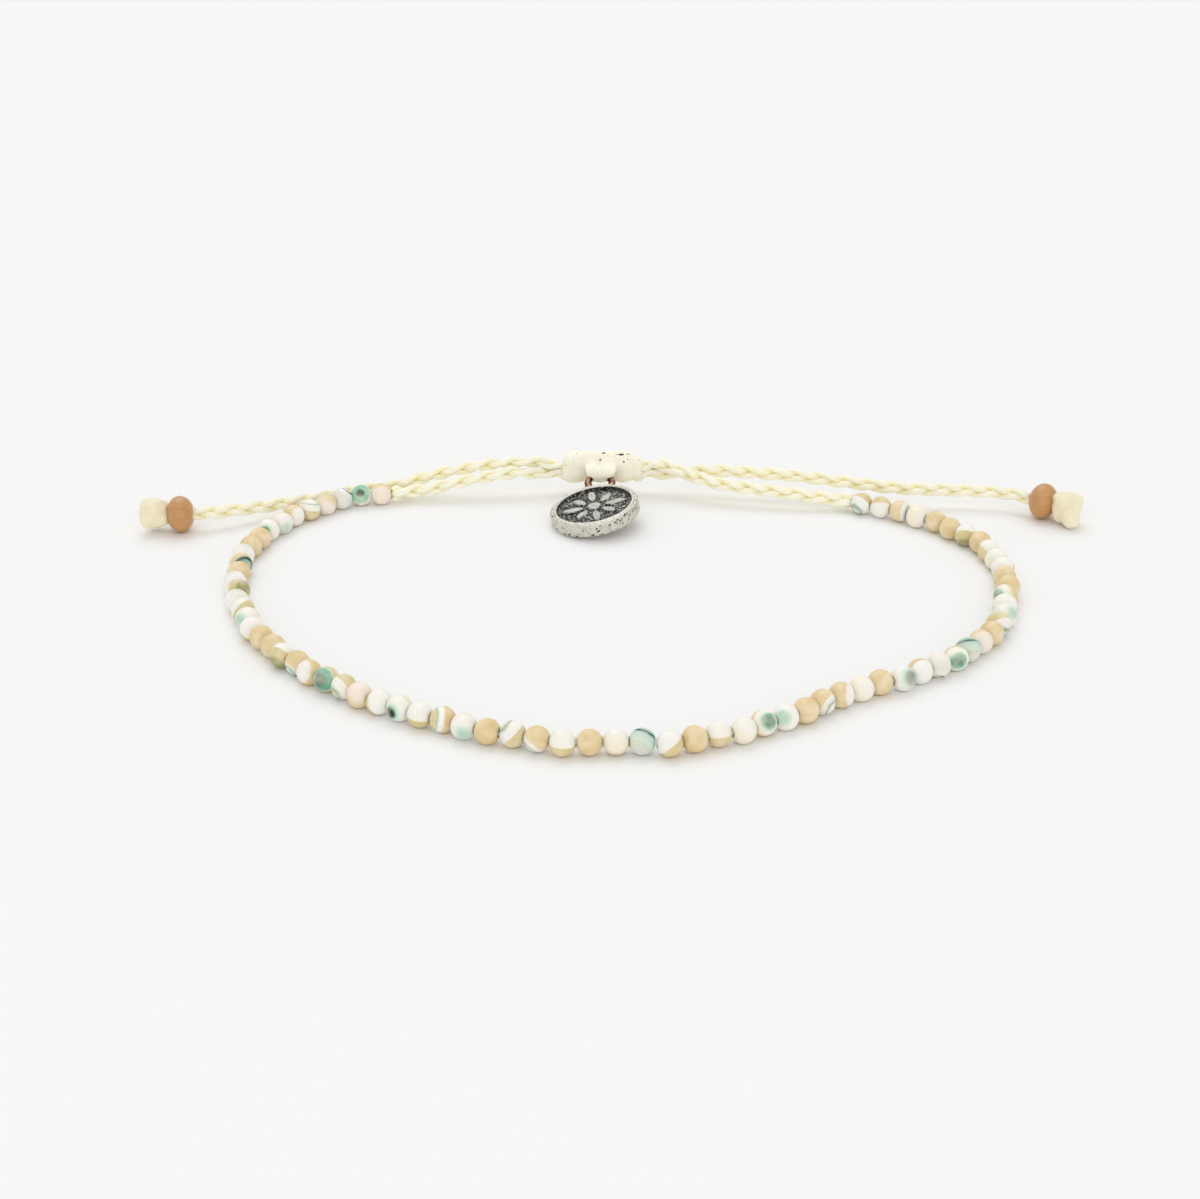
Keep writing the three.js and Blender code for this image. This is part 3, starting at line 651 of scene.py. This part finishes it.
def add_thread(finish):
    radius = THREAD_DIAMETER / 2
    shifts = [bead_shift(k) for k in range(BEAD_COUNT)]
    rings = []
    for i in range(BEAD_COUNT * 4 + 1):
        distance = i * BEAD_PITCH / 4
        shift = np.interp(i / 4 - 0.5, range(BEAD_COUNT), shifts)
        side = unit(np.cross(UP, string_line.ahead(distance)))
        centre = string_line.place(distance) + side * shift
        rings.append(ring_of_points(centre, side, UP, radius, radius, THREAD_SIDES))
    surface = skin(rings)
    layers = {
        "crown": np.full(len(surface[0]), 0.9),
        "twist": fibre_turns(len(rings), THREAD_SIDES, BEAD_PITCH / 4, 2),
    }
    add_piece("bead_thread", surface, [finish], layers=layers)


# Charm, ring and knot take their places from one another.
charm_lean = RIGHT * math.cos(CHARM_LEAN) + BACK * math.sin(CHARM_LEAN)
charm_normal = charm_lean * math.sin(CHARM_TILT) + UP * math.cos(CHARM_TILT)
far_way = np.array([math.sin(-BAIL_TURN), math.cos(-BAIL_TURN), 0])
charm_far = unit(far_way - charm_normal * (far_way @ charm_normal))
charm_side = np.cross(charm_far, charm_normal)
charm_place = np.array([*CHARM_PLAN, (CHARM_RADIUS - CHARM_EDGE) * math.sin(CHARM_TILT)])
eye_reach = RING_WIRE / 2 + RING_CLEARANCE
eye_from_axis = CHARM_RADIUS + eye_reach
eye_place = charm_place + charm_far * eye_from_axis + charm_normal * BAIL_HEIGHT
ring_span = RING_DIAMETER - RING_WIRE
ring_way = np.array([0, math.cos(RING_HANG), math.sin(RING_HANG)])
loop_place = eye_place + ring_way * ring_span
knot_place = loop_place + np.array([KNOT_OFFSET, KNOT_HALF_DEPTH + eye_reach, 0])


def laid(rows):
    """The place and roll of each chosen point of a cord that lies at its own height."""
    return [(np.array([x, y, rise + BRAID_HALF_WIDTH]), roll) for x, y, rise, roll in rows]


def cord_line(start, to_knot, lane_height, lane_roll, tail, wood_spot):
    heading = math.copysign(1, tail[0][0] - to_knot[0][0])
    straight = heading * (KNOT_LENGTH / 2 + KNOT_MOUTH)
    in_knot = [(knot_place + RIGHT * way * straight + UP * lane_height, lane_roll) for way in KNOT_WAYS]
    rows = [(start, to_knot[0][3]), *laid(to_knot), *in_knot, *laid(tail)]
    wood = np.array([*wood_spot, WOOD_DIAMETER / 2])
    way = unit((wood - rows[-1][0]) * (RIGHT + BACK))
    for reach in (-WOOD_LENGTH / 2, WOOD_LENGTH / 2, CORD_END_REACH):
        rows.append((wood + way * reach, rows[-1][1]))
    line = Line([place for place, roll in rows], [roll for place, roll in rows])
    line.wood, line.way = wood, way
    return line


def string_end(distance):
    ahead = string_line.ahead(distance) * (-1 if distance == 0 else 1)
    return string_line.place(distance) + ahead * CORD_START_GAP


cord_lines = {
    "left": cord_line(string_end(0), LEFT_CORD_TO_KNOT, -LANE_HEIGHT, 180, LEFT_CORD_TAIL,
                      RIGHT_WOOD_SPOT),
    "right": cord_line(string_end(string_line.length), RIGHT_CORD_TO_KNOT, LANE_HEIGHT, 0,
                       RIGHT_CORD_TAIL, LEFT_WOOD_SPOT),
}


def braid_frame(line, distance):
    """The place of a braid at a distance, the way its flat side faces, and its width."""
    ahead = line.ahead(distance)
    front = unit(ahead * (BACK @ ahead) - BACK)
    up = np.cross(front, ahead)
    up = up * math.copysign(1, up[2])
    roll = line.roll(distance)
    flat = up * math.cos(roll) + front * math.sin(roll)
    return line.place(distance), flat, np.cross(flat, ahead)


def braided_strand(line, strand):
    """One strand of a three-strand braid, how far its points stand out, and its twist."""
    count = int(line.length / STRAND_STEP)
    distances = np.linspace(0, line.length, count)
    frames = [braid_frame(line, d) for d in distances]
    bulk = 1 + START_BULK * np.exp(-(distances / START_BULK_REACH) ** 2)
    bulk *= START_TAPER + (1 - START_TAPER) * smooth_step(-0.1, 0.6, distances)
    centres = []
    for distance, loose, (place, flat, width) in zip(distances, bulk, frames):
        angle = 2 * math.pi * (distance / BRAID_TURN + strand / 3)
        across = width * BRAID_SWING * math.sin(angle) + flat * BRAID_LIFT * math.sin(2 * angle)
        centres.append(place + across * loose)
    rings, crowns = [], []
    for i, (place, flat, width) in enumerate(frames):
        ahead = unit(centres[min(i + 1, count - 1)] - centres[max(i - 1, 0)])
        side = unit(np.cross(flat, ahead))
        up = np.cross(ahead, side)
        half_width, half_depth = STRAND_WIDTH / 2 * bulk[i], STRAND_DEPTH / 2 * bulk[i]
        ring = ring_of_points(centres[i], side, up, half_width, half_depth, STRAND_SIDES)
        rings.append(ring)
        # How far each point stands out of the braid. It sets the painted shade in the creases between
        # strands.
        out_flat = (ring - place) @ flat / (BRAID_LIFT + STRAND_DEPTH / 2)
        out_width = (ring - place) @ width / (BRAID_SWING + STRAND_WIDTH / 2)
        crowns.append(np.sqrt(out_flat ** 2 + out_width ** 2))
    twist = fibre_turns(count, STRAND_SIDES, STRAND_STEP, 1)
    return skin(rings), np.concatenate(crowns), twist


def add_braids(finish):
    for side, line in cord_lines.items():
        for strand in range(3):
            surface, crown, twist = braided_strand(line, strand)
            add_piece(f"{side}_braid_{strand + 1}", surface, [finish],
                      f"{side}_cord_strand_{strand + 1}", layers={"crown": crown, "twist": twist})


def body_point(angle):
    """A point of the path of a wrap round the knot's body, across the X axis."""
    across, height = math.cos(angle), math.sin(angle)
    y = WRAP_HALF_DEPTH * math.copysign(abs(across) ** (2 / WRAP_FULLNESS), across)
    z = WRAP_HALF_HEIGHT * math.copysign(abs(height) ** (2 / WRAP_FULLNESS), height)
    return np.array([0, y, z])


def knot_body():
    """The filled body that the turns lie on."""
    rings = []
    for x, height, raised in KNOT_BODY:
        centre = np.array([x, BODY_RAISE[0], BODY_RAISE[1] + raised])
        depth = height * WRAP_HALF_DEPTH / WRAP_HALF_HEIGHT
        rings.append(ring_of_points(centre, BACK, UP, depth, height, KNOT_BODY_SIDES))
    return skin(rings)


def wrap(middle, half_width, slant, thickness, inset, lift):
    """One turn of cord round the knot's body. Slant moves its top and bottom apart."""
    stops = [body_point(2 * math.pi * k / WRAP_STEPS) for k in range(WRAP_STEPS)]
    rings = []
    for k in range(WRAP_STEPS):
        ahead = unit(stops[(k + 1) % WRAP_STEPS] - stops[k - 1])
        outward = unit(np.cross(ahead, RIGHT))
        if outward @ stops[k] < 0:
            outward = -outward
        share = stops[k][2] / WRAP_HALF_HEIGHT
        spot = np.array([middle + slant * share, BODY_RAISE[0], BODY_RAISE[1] + lift])
        centre = stops[k] - outward * inset + spot
        rings.append(ring_of_points(centre, RIGHT, outward, half_width, thickness, WRAP_SIDES))
    return skin(rings, closed=True)


def front_turn(stops, out=0.0):
    """A turn over the knot's front and under the ring's wire, as far out as that."""
    wire_back = -KNOT_HALF_DEPTH - eye_reach
    reach = FRONT_TURN_RADIUS + out
    places = [(y + out * more_y, z + out * more_z) for y, z, more_y, more_z in FRONT_TURN_TOP]
    for angle in np.radians(FRONT_TURN_ANGLES):
        places.append((wire_back - reach * math.cos(angle), reach * math.sin(angle)))
    places.append(FRONT_TURN_END)
    ways = np.linspace(0, 1, len(places))
    stop_ways, stop_x, stop_half_widths = np.array(stops).T
    x = np.interp(ways, stop_ways, stop_x)
    half_widths = np.interp(ways, stop_ways, stop_half_widths)
    line = Line([(x[k], y, z) for k, (y, z) in enumerate(places)])
    rings = []
    for distance in np.linspace(0, line.length, FRONT_TURN_STEPS):
        ahead = line.ahead(distance)
        side = unit(RIGHT - ahead * ahead[0])
        share = np.interp(distance, line.distances, line.shares) / (len(places) - 1)
        half_width = np.interp(share, ways, half_widths)
        thickness = np.interp(share, *FRONT_TURN_THICKNESS)
        place = line.place(distance)
        rings.append(ring_of_points(place, side, np.cross(side, ahead), half_width, thickness, WRAP_SIDES))
    return skin(rings)


def fused(name, surface, voxel):
    """Points and faces of one skin round overlapping surfaces."""
    points, faces = surface
    mesh = bpy.data.meshes.new(name)
    mesh.from_pydata(points.tolist(), [], faces)
    piece = add_object(name, mesh)
    remesh = piece.modifiers.new("skin", "REMESH")
    remesh.mode = "VOXEL"
    remesh.voxel_size = voxel
    smooth = piece.modifiers.new("smooth", "SMOOTH")
    smooth.iterations = FORM_SMOOTHING
    made = piece.evaluated_get(bpy.context.evaluated_depsgraph_get()).to_mesh()
    new_points = np.empty(len(made.vertices) * 3)
    made.vertices.foreach_get("co", new_points)
    new_faces = [tuple(polygon.vertices) for polygon in made.polygons]
    bpy.data.objects.remove(piece)
    return new_points.reshape(-1, 3), new_faces


def singe_marks(points):
    """How singed each point of the knot is, from 0 to 1."""
    height = points @ ABOVE
    marks = np.zeros(len(points))
    for x, high, half_width, half_height in SINGES:
        reach = np.hypot((points[:, 0] - x) / half_width, (height - high) / half_height)
        marks = np.maximum(marks, smooth_step(1.25, 0.8, reach))
    return marks * (points @ NEARER > -0.4)


def knot_crease_shade(points):
    """How far each point stands out of the knot's creases, from 0 to 1, less on its underside. It sets the
    painted shade in the creases and under the knot.
    """
    x, half_heights, raised = np.array(KNOT_BODY).T
    half_height = np.interp(points[:, 0], x, half_heights) + 0.1
    across = (points[:, 1] - BODY_RAISE[0]) * WRAP_HALF_HEIGHT / WRAP_HALF_DEPTH
    up = points[:, 2] - BODY_RAISE[1]
    crown = np.hypot(across, up - np.interp(points[:, 0], x, raised)) / half_height
    # Painted shade: the underside is lowered by 0.3, so it comes out darker and yellower.
    return np.clip(crown - 0.3 * smooth_step(0.1, 0.95, -up / WRAP_HALF_HEIGHT), 0, 1)


def add_knot(finish):
    parts = [knot_body()] + [wrap(*sizes) for sizes in KNOT_WRAPS]
    parts += [front_turn(UNDER_TURN), front_turn(OVER_TURN, OVER_TURN_HEIGHT)]
    points, faces = fused("knot_form", join(parts), KNOT_VOXEL)
    lumps = lumps_at(points, 0.8)
    outward = points * (BACK + UP)
    outward /= np.maximum(np.linalg.norm(outward, axis=1), 0.5)[:, None]
    points += outward * (lumps * KNOT_LUMPS)[:, None]
    twist = points[:, 0] * 0.8 + points[:, 2] * 0.5 + lumps * 2
    add_piece("knot_wraps", (points + knot_place, faces), [finish], "sliding_knot",
              layers={"crown": knot_crease_shade(points), "twist": twist, "singe": singe_marks(points)})


def add_ring(finish):
    radius = ring_span / 2 - RING_FLAT / 2
    middle = eye_place + ring_way * ring_span / 2
    normal = np.cross(RIGHT, ring_way)
    half_width = (RING_WIRE + RING_FLAT) / 2
    rings, inner = [], []
    for angle in np.linspace(*RING_ENDS, RING_STEPS):
        outward = RIGHT * math.cos(angle) + ring_way * math.sin(angle)
        place = middle + outward * radius
        ring = ring_of_points(place, normal, outward, RING_WIRE / 2, half_width, RING_SIDES)
        rings.append(ring)
        # How far each point lies on the wire's inner side, for the painted shade inside the ring.
        inner.append(0.5 - (ring - place) @ outward / RING_WIRE)
    add_piece("copper_ring", skin(rings), [finish], "jump_ring",
              layers={"inner": np.concatenate(inner)})


def copper_finish():
    finish = Finish("copper", 0.3, 1.0)
    tarnish = finish.noise(0.6, 4)
    colour = finish.ramp(tarnish, [(0.3, (78, 50, 42)), (0.5, (138, 98, 82)),
                                   (0.72, (206, 176, 158))])
    # Painted shade: the inner side of the wire is darkened to dark maroon, standing for the shade in the
    # ring's hole.
    colour = finish.mix(finish.spread(finish.layer("inner"), 0.5, 0.95), colour, (52, 24, 16))
    finish.shade(
        Base_Color=colour,
        Roughness=finish.spread(tarnish, 0.3, 0.7, 0.4, 0.24),
        Normal=finish.bump(finish.noise(0.12, 3), 0.01, 0.4),
    )
    return finish.material


def petal_height(x, y):
    """Height of the rosette's petals and boss, from 0 to 1."""
    rim_inner = CHARM_RADIUS - CHARM_RIM
    height = np.zeros_like(x)
    start = PETAL_START * rim_inner
    for i in range(PETALS):
        turn = 2 * math.pi * i / PETALS + PETAL_TURN
        reach = PETAL_REACHES[i % 2] * rim_inner
        along = (x * math.cos(turn) + y * math.sin(turn) - start) / (reach - start)
        side = np.abs(-x * math.sin(turn) + y * math.cos(turn)) / (PETAL_HALF_WIDTH * rim_inner)
        width = np.interp(along, [-0.02, 0, 0.2, 0.45, 0.8, 1], [0, 0.3, 0.78, 1, 0.72, 0])
        inside = np.where(width > 0.02, 1 - side / np.maximum(width, 0.02), -1)
        crease = 0.16 * np.exp(-(side / 0.13) ** 2)
        petal = smooth_step(0, 0.3, inside) * (1 - crease) * (0.82 + 0.18 * smooth_step(0, 0.7, along))
        height = np.maximum(height, petal)
    reach = np.hypot(x, y) / rim_inner
    boss = smooth_step(0.21, 0.15, reach) * (1 - 0.3 * smooth_step(0.06, 0.0, reach))
    return np.maximum(height, boss)


def charm_surface():
    """The disc in its own frame: points, faces, how raised each point is, and its pits."""
    rim_inner = CHARM_RADIUS - CHARM_RIM
    floor = CHARM_THICKNESS - CHARM_RECESS
    corner = [math.radians(a) for a in (0, 30, 60, 90)]
    outline = [(r, 0.0) for r in (0.02, 2.0, 4.0, 5.4)]
    outline += [(CHARM_RADIUS - CHARM_EDGE + CHARM_EDGE * math.sin(a), CHARM_EDGE - CHARM_EDGE * math.cos(a))
                for a in corner]
    wall = np.linspace(CHARM_EDGE, CHARM_THICKNESS - CHARM_ROUND, 14)[1:-1]
    outline += [(CHARM_RADIUS, h) for h in wall]
    top = CHARM_THICKNESS - CHARM_ROUND
    outline += [(CHARM_RADIUS - CHARM_ROUND + CHARM_ROUND * math.cos(a), top + CHARM_ROUND * math.sin(a))
                for a in corner]
    groove = len(outline) + 1
    outline += [(rim_inner + out, CHARM_THICKNESS + rise) for out, rise in RIM_PROFILE]
    foot = len(outline)
    outline += [(rim_inner + out, floor + rise) for out, rise in RIM_FOOT]
    field = len(outline)
    outline += [(r, floor) for r in np.linspace(rim_inner - 0.12, 0.02, FIELD_RINGS)]
    radii, heights = np.array(outline).T
    angles = np.linspace(0, 2 * math.pi, CHARM_SIDES, endpoint=False)
    x = radii[:, None] * np.cos(angles)
    y = radii[:, None] * np.sin(angles)
    z = np.repeat(heights[:, None], CHARM_SIDES, axis=1)
    relief = petal_height(x, y)
    relief[:field] = 0
    raised = np.ones_like(x)
    raised[foot:] = 0
    raised[groove] = 0.5
    raised[field:] = relief[field:]
    z += CHARM_RELIEF * relief
    points = np.stack([x, y, z], axis=-1).reshape(-1, 3)
    rough = lumps_at(points, 2.4) + 0.5 * lumps_at(points, 6.5)
    holes = lumps_at(points * (2.3, 2.3, 2.8) + UP * 7, 1)
    reach = np.hypot(points[:, 0], points[:, 1])
    wall_share = smooth_step(rim_inner + 0.35, CHARM_RADIUS - 0.1, reach)
    pits = smooth_step(0.4, 0.47, holes) * wall_share
    upper = points[:, 2] > CHARM_THICKNESS / 2
    points[:, 1] += FIELD_SHIFT * upper * smooth_step(CHARM_RADIUS - CHARM_ROUND, rim_inner, reach)
    way = points * (RIGHT + BACK) / np.maximum(np.hypot(points[:, 0], points[:, 1]), 0.1)[:, None]
    points += way * (wall_share * (0.035 * rough - 0.05) - 0.14 * pits)[:, None]
    inner = (reach < rim_inner - 0.1) & upper
    points[:, 2] += np.where(inner, 0.03 * rough, 0.012 * rough * (points[:, 2] > 1.0))
    faces = skin(points.reshape(len(outline), CHARM_SIDES, 3))[1]
    return points, faces, raised.ravel(), pits


def charm_eye():
    radius, wire = eye_reach + BAIL_WIRE / 2, BAIL_WIRE / 2
    middle = np.array([0, eye_from_axis, BAIL_HEIGHT])
    rings = []
    for angle in np.linspace(0, 2 * math.pi, BAIL_STEPS, endpoint=False):
        outward = np.array([0, math.cos(angle), math.sin(angle)])
        place = middle + outward * radius
        rings.append(ring_of_points(place, outward, -RIGHT, wire, wire, BAIL_SIDES))
    return skin(rings, closed=True)


def pewter_finish():
    finish = Finish("pewter", 0.4, 0.75)
    grit = finish.noise(0.34, 4)
    patches = finish.noise(0.5, 4)
    dark = finish.ramp(grit, [(0.42, (18, 18, 17)), (0.5, (48, 48, 46)),
                              (0.57, (110, 110, 105)), (0.64, (184, 184, 178))])
    bright = finish.ramp(patches, [(0.25, (178, 175, 165)), (0.45, (212, 209, 198)),
                                   (0.8, (230, 227, 217))])
    dark = finish.mix(finish.spread(finish.noise(0.9, 3), 0.5, 0.7, 0.0, 0.4), dark, (150, 150, 144))
    edge = finish.spread(grit, 0.3, 0.7, -0.14, 0.14)
    share = finish.spread(finish.math("ADD", finish.layer("raised"), edge), 0.42, 0.7)
    worn_relief = finish.mix(finish.spread(grit, 0.35, 0.65), (150, 149, 143), (208, 206, 198))
    bright = finish.mix(finish.math("MULTIPLY", finish.layer("field"), 0.85), bright, worn_relief)
    colour = finish.mix(share, dark, bright)
    specks = finish.spread(finish.noise(0.34, 3), 0.66, 0.71)
    hollow = finish.math("MAXIMUM", finish.layer("pits"),
                         finish.math("MULTIPLY", specks, finish.layer("worn")))
    colour = finish.mix(hollow, colour, (24, 24, 21))
    finish.shade(
        Base_Color=colour,
        Roughness=finish.spread(grit, 0.3, 0.7, 0.38, 0.6),
        Normal=finish.bump(grit, 0.035, 0.8),
    )
    return finish.material


def add_charm(finish):
    points, faces, raised, pits = charm_surface()
    eye_points, eye_faces = charm_eye()
    surface_points, surface_faces = join([(points, faces), (eye_points, eye_faces)])
    placed = charm_place + surface_points @ np.stack([charm_side, charm_far, charm_normal])
    placed[:, 2] = np.maximum(placed[:, 2], 0)
    extra = len(eye_points)
    reach = np.hypot(points[:, 0], points[:, 1])
    worn = smooth_step(CHARM_RADIUS - 0.3, CHARM_RADIUS - 0.1, reach)
    layers = {
        "raised": np.append(raised, np.ones(extra)),
        "pits": np.append(pits, np.zeros(extra)),
        "worn": np.append(worn, np.zeros(extra)),
        "field": np.append(reach < CHARM_RADIUS - CHARM_RIM - 0.05, np.zeros(extra)),
    }
    add_piece("pewter_charm", (placed, surface_faces), [finish], "round_charm", layers=layers)


def wood_finish():
    finish = Finish("light_wood", 0.4)
    grain = finish.noise(0.8, 3, stretch=(0.35, 1.0, 1.6), distortion=0.5)
    colour = finish.ramp(grain, [(0.25, (188, 136, 80)), (0.5, (195, 143, 86)),
                                 (0.75, (202, 151, 94))])
    pores = finish.spread(finish.noise(0.16, 3, stretch=(0.3, 1.0, 1.4)), 0.62, 0.72)
    colour = finish.mix(finish.math("MULTIPLY", pores, 0.15), colour, (146, 98, 58))
    finish.shade(
        Base_Color=colour,
        Roughness=finish.spread(grain, 0.3, 0.7, 0.34, 0.46),
        Normal=finish.bump(grain, 0.008, 0.5),
        Coat_Weight=0.4,
        Coat_Roughness=0.26,
    )
    return finish.material


def wood_surface(line):
    """A turned bead with a bore, worn a little out of round."""
    half, radius, bore = WOOD_LENGTH * WOOD_HALF_SHARE, WOOD_DIAMETER / 2, WOOD_BORE / 2
    outline = [(bore, -0.94), (bore + 0.03, -0.99)]
    for share in np.sin(np.linspace(-math.pi / 2, math.pi / 2, 25)):
        outline.append((radius * math.sqrt(1 - (WOOD_ROUNDNESS * share) ** 2), share))
    outline += [(bore + 0.03, 0.99), (bore, 0.94)]
    side = np.cross(UP, line.way)
    rings = []
    for reach, along in outline:
        place = line.wood + line.way * along * half
        rings.append(ring_of_points(place, side, UP, reach, reach, WOOD_SIDES))
    points, faces = skin(rings, closed=True)
    wear = 0.01 + 0.015 * lumps_at(points, 0.5)
    points -= (points - line.wood) * wear[:, None]
    points[:, 2] = np.maximum(points[:, 2], 0)
    return points, faces


class KnotPath(Path):
    """The closed path of a drawn overhand knot."""

    def __init__(self, centre, reach, depth, axes):
        turns = np.linspace(0, 2 * math.pi, 241)
        flat = np.stack([np.sin(turns) + 2 * np.sin(2 * turns), np.cos(turns) - 2 * np.cos(2 * turns),
                         -np.sin(3 * turns)], axis=1)
        flat *= np.array([reach / 3, reach / 3, depth])
        super().__init__(centre + flat @ axes)
        self.normal = axes[2]

    def place(self, distance):
        return super().place(distance % self.length)

    def frame(self, distance):
        place = self.place(distance)
        ahead = unit(self.place(distance + 0.1) - self.place(distance - 0.1))
        flat = unit(self.normal - ahead * (self.normal @ ahead))
        return place, flat, np.cross(flat, ahead)


def drawn_knot(centre, way, tilt, stub):
    """An overhand knot in the cord, drawn tight, with the cord's cut end: surface, crowns, twist."""
    stub = np.array(stub)
    axes = np.stack([way * math.cos(tilt) + UP * math.sin(tilt), UP * math.cos(tilt) - way * math.sin(tilt),
                     np.cross(UP, way)])
    half = END_KNOT_DIAMETER / 2
    path = KnotPath(centre, half - END_KNOT_TURN, END_KNOT_DEPTH, axes)
    rings = []
    for distance in np.linspace(0, path.length, 200, endpoint=False):
        place, flat, width = path.frame(distance)
        thick = END_KNOT_TURN * (1 + 0.06 * math.sin(distance * 4.2))
        rings.append(ring_of_points(place, width, flat, thick, thick * 0.94, END_KNOT_SIDES))
    across = unit(np.cross(stub, [0.3, 0.2, 1.0]))
    over = unit(np.cross(across, stub))
    stub_rings = [ring_of_points(centre + stub * share, across, over, size, size, END_KNOT_SIDES)
                  for share, size in STUB]
    surface = join([skin(rings, closed=True), ball(centre, half - HEART_INSET), skin(stub_rings)])
    points, faces = fused("end_knot_form", surface, END_KNOT_VOXEL)
    points = centre + (points - centre) * END_KNOT_SWELL
    out = points - centre
    reach = np.linalg.norm(out, axis=1)
    lumps = lumps_at(points, 1.3)
    points += out / reach[:, None] * (lumps * END_KNOT_LUMPS)[:, None]
    points[:, 2] = np.maximum(points[:, 2], 0)
    # The share of the way out from the middle sets the painted shade in the knot's creases.
    return (points, faces), np.clip(reach / half, 0, 1), out @ axes[0] + lumps * 2


def ball(centre, radius):
    """The heart of a knot, which closes the gaps between its turns."""
    rings = []
    for turn in np.linspace(0.05, math.pi - 0.05, 20):
        middle = centre - UP * radius * math.cos(turn)
        reach = radius * math.sin(turn)
        rings.append(ring_of_points(middle, RIGHT, BACK, reach, reach, HEART_SIDES))
    return skin(rings)


def add_tail_ends(wood, cord):
    """The wooden bead and end knot of each tail: its line, the knot's tilt, cut end and shift."""
    ends = [("left", cord_lines["right"], 0.5, (-1.5, 0.1, 0.5), (0, 0.45, 0.15)),
            ("right", cord_lines["left"], -0.1, (0.35, -2.7, -1.7), (-0.2, -0.2, 0))]
    for side, line, tilt, stub, shift in ends:
        add_piece(f"turned_bead_{side}", wood_surface(line), [wood], f"wood_bead_{side}")
        centre = line.wood + line.way * END_KNOT_REACH + np.array(shift)
        surface, crown, twist = drawn_knot(centre, line.way, tilt, stub)
        add_piece(f"tail_knot_{side}", surface, [cord], f"end_knot_{side}",
                  layers={"crown": crown, "twist": twist})


def add_sun(name, energy, spread, colour, source):
    sun = bpy.data.lights.new(name, "SUN")
    sun.energy = energy
    sun.color = colour
    sun.angle = math.radians(spread)
    lamp = add_object(name, sun)
    lamp.rotation_euler = turn_towards(-Vector(source))


def add_studio():
    half = FLOOR_HALF_WIDTH
    mesh = bpy.data.meshes.new("floor")
    corners = [(-half, -half, 0), (half, -half, 0), (half, half, 0), (-half, half, 0)]
    mesh.from_pydata(corners, [], [(0, 1, 2, 3)])
    floor = add_object("floor", mesh)
    finish = Finish("pale_floor", 0.7)
    finish.shade(Base_Color=paint((245, 245, 245)), Specular_IOR_Level=0.2)
    mesh.materials.append(finish.material)
    world = bpy.data.worlds.new("studio")
    world.use_nodes = True
    room = world.node_tree.nodes["Background"].inputs
    room["Color"].default_value = ROOM_COLOUR
    room["Strength"].default_value = ROOM_LIGHT
    bpy.context.scene.world = world
    for name, settings in SUNS.items():
        add_sun(name, *settings)
    bpy.context.scene.view_settings.view_transform = "Standard"


add_camera()
add_studio()
# Each cord's colours run from its creases to its crowns. The darker, yellower low end is painted crease
# shade.
waxed_cord = cord_finish("waxed_cord", [
    (0.3, (244, 228, 158)), (0.5, (253, 241, 194)), (0.7, (255, 248, 214)),
    (1.0, (255, 251, 229))])
knot_cord = cord_finish("knot_cord", [
    (0.5, (246, 230, 172)), (0.72, (254, 244, 208)), (0.9, (255, 250, 228)),
    (1.0, (255, 251, 232))])
end_cord = cord_finish("end_cord", [
    (0.5, (222, 203, 148)), (0.72, (234, 220, 178)), (0.9, (240, 230, 199)),
    (1.0, (242, 234, 207))])
add_beads()
add_thread(waxed_cord)
add_braids(waxed_cord)
add_knot(knot_cord)
add_ring(copper_finish())
add_charm(pewter_finish())
add_tail_ends(wood_finish(), end_cord)
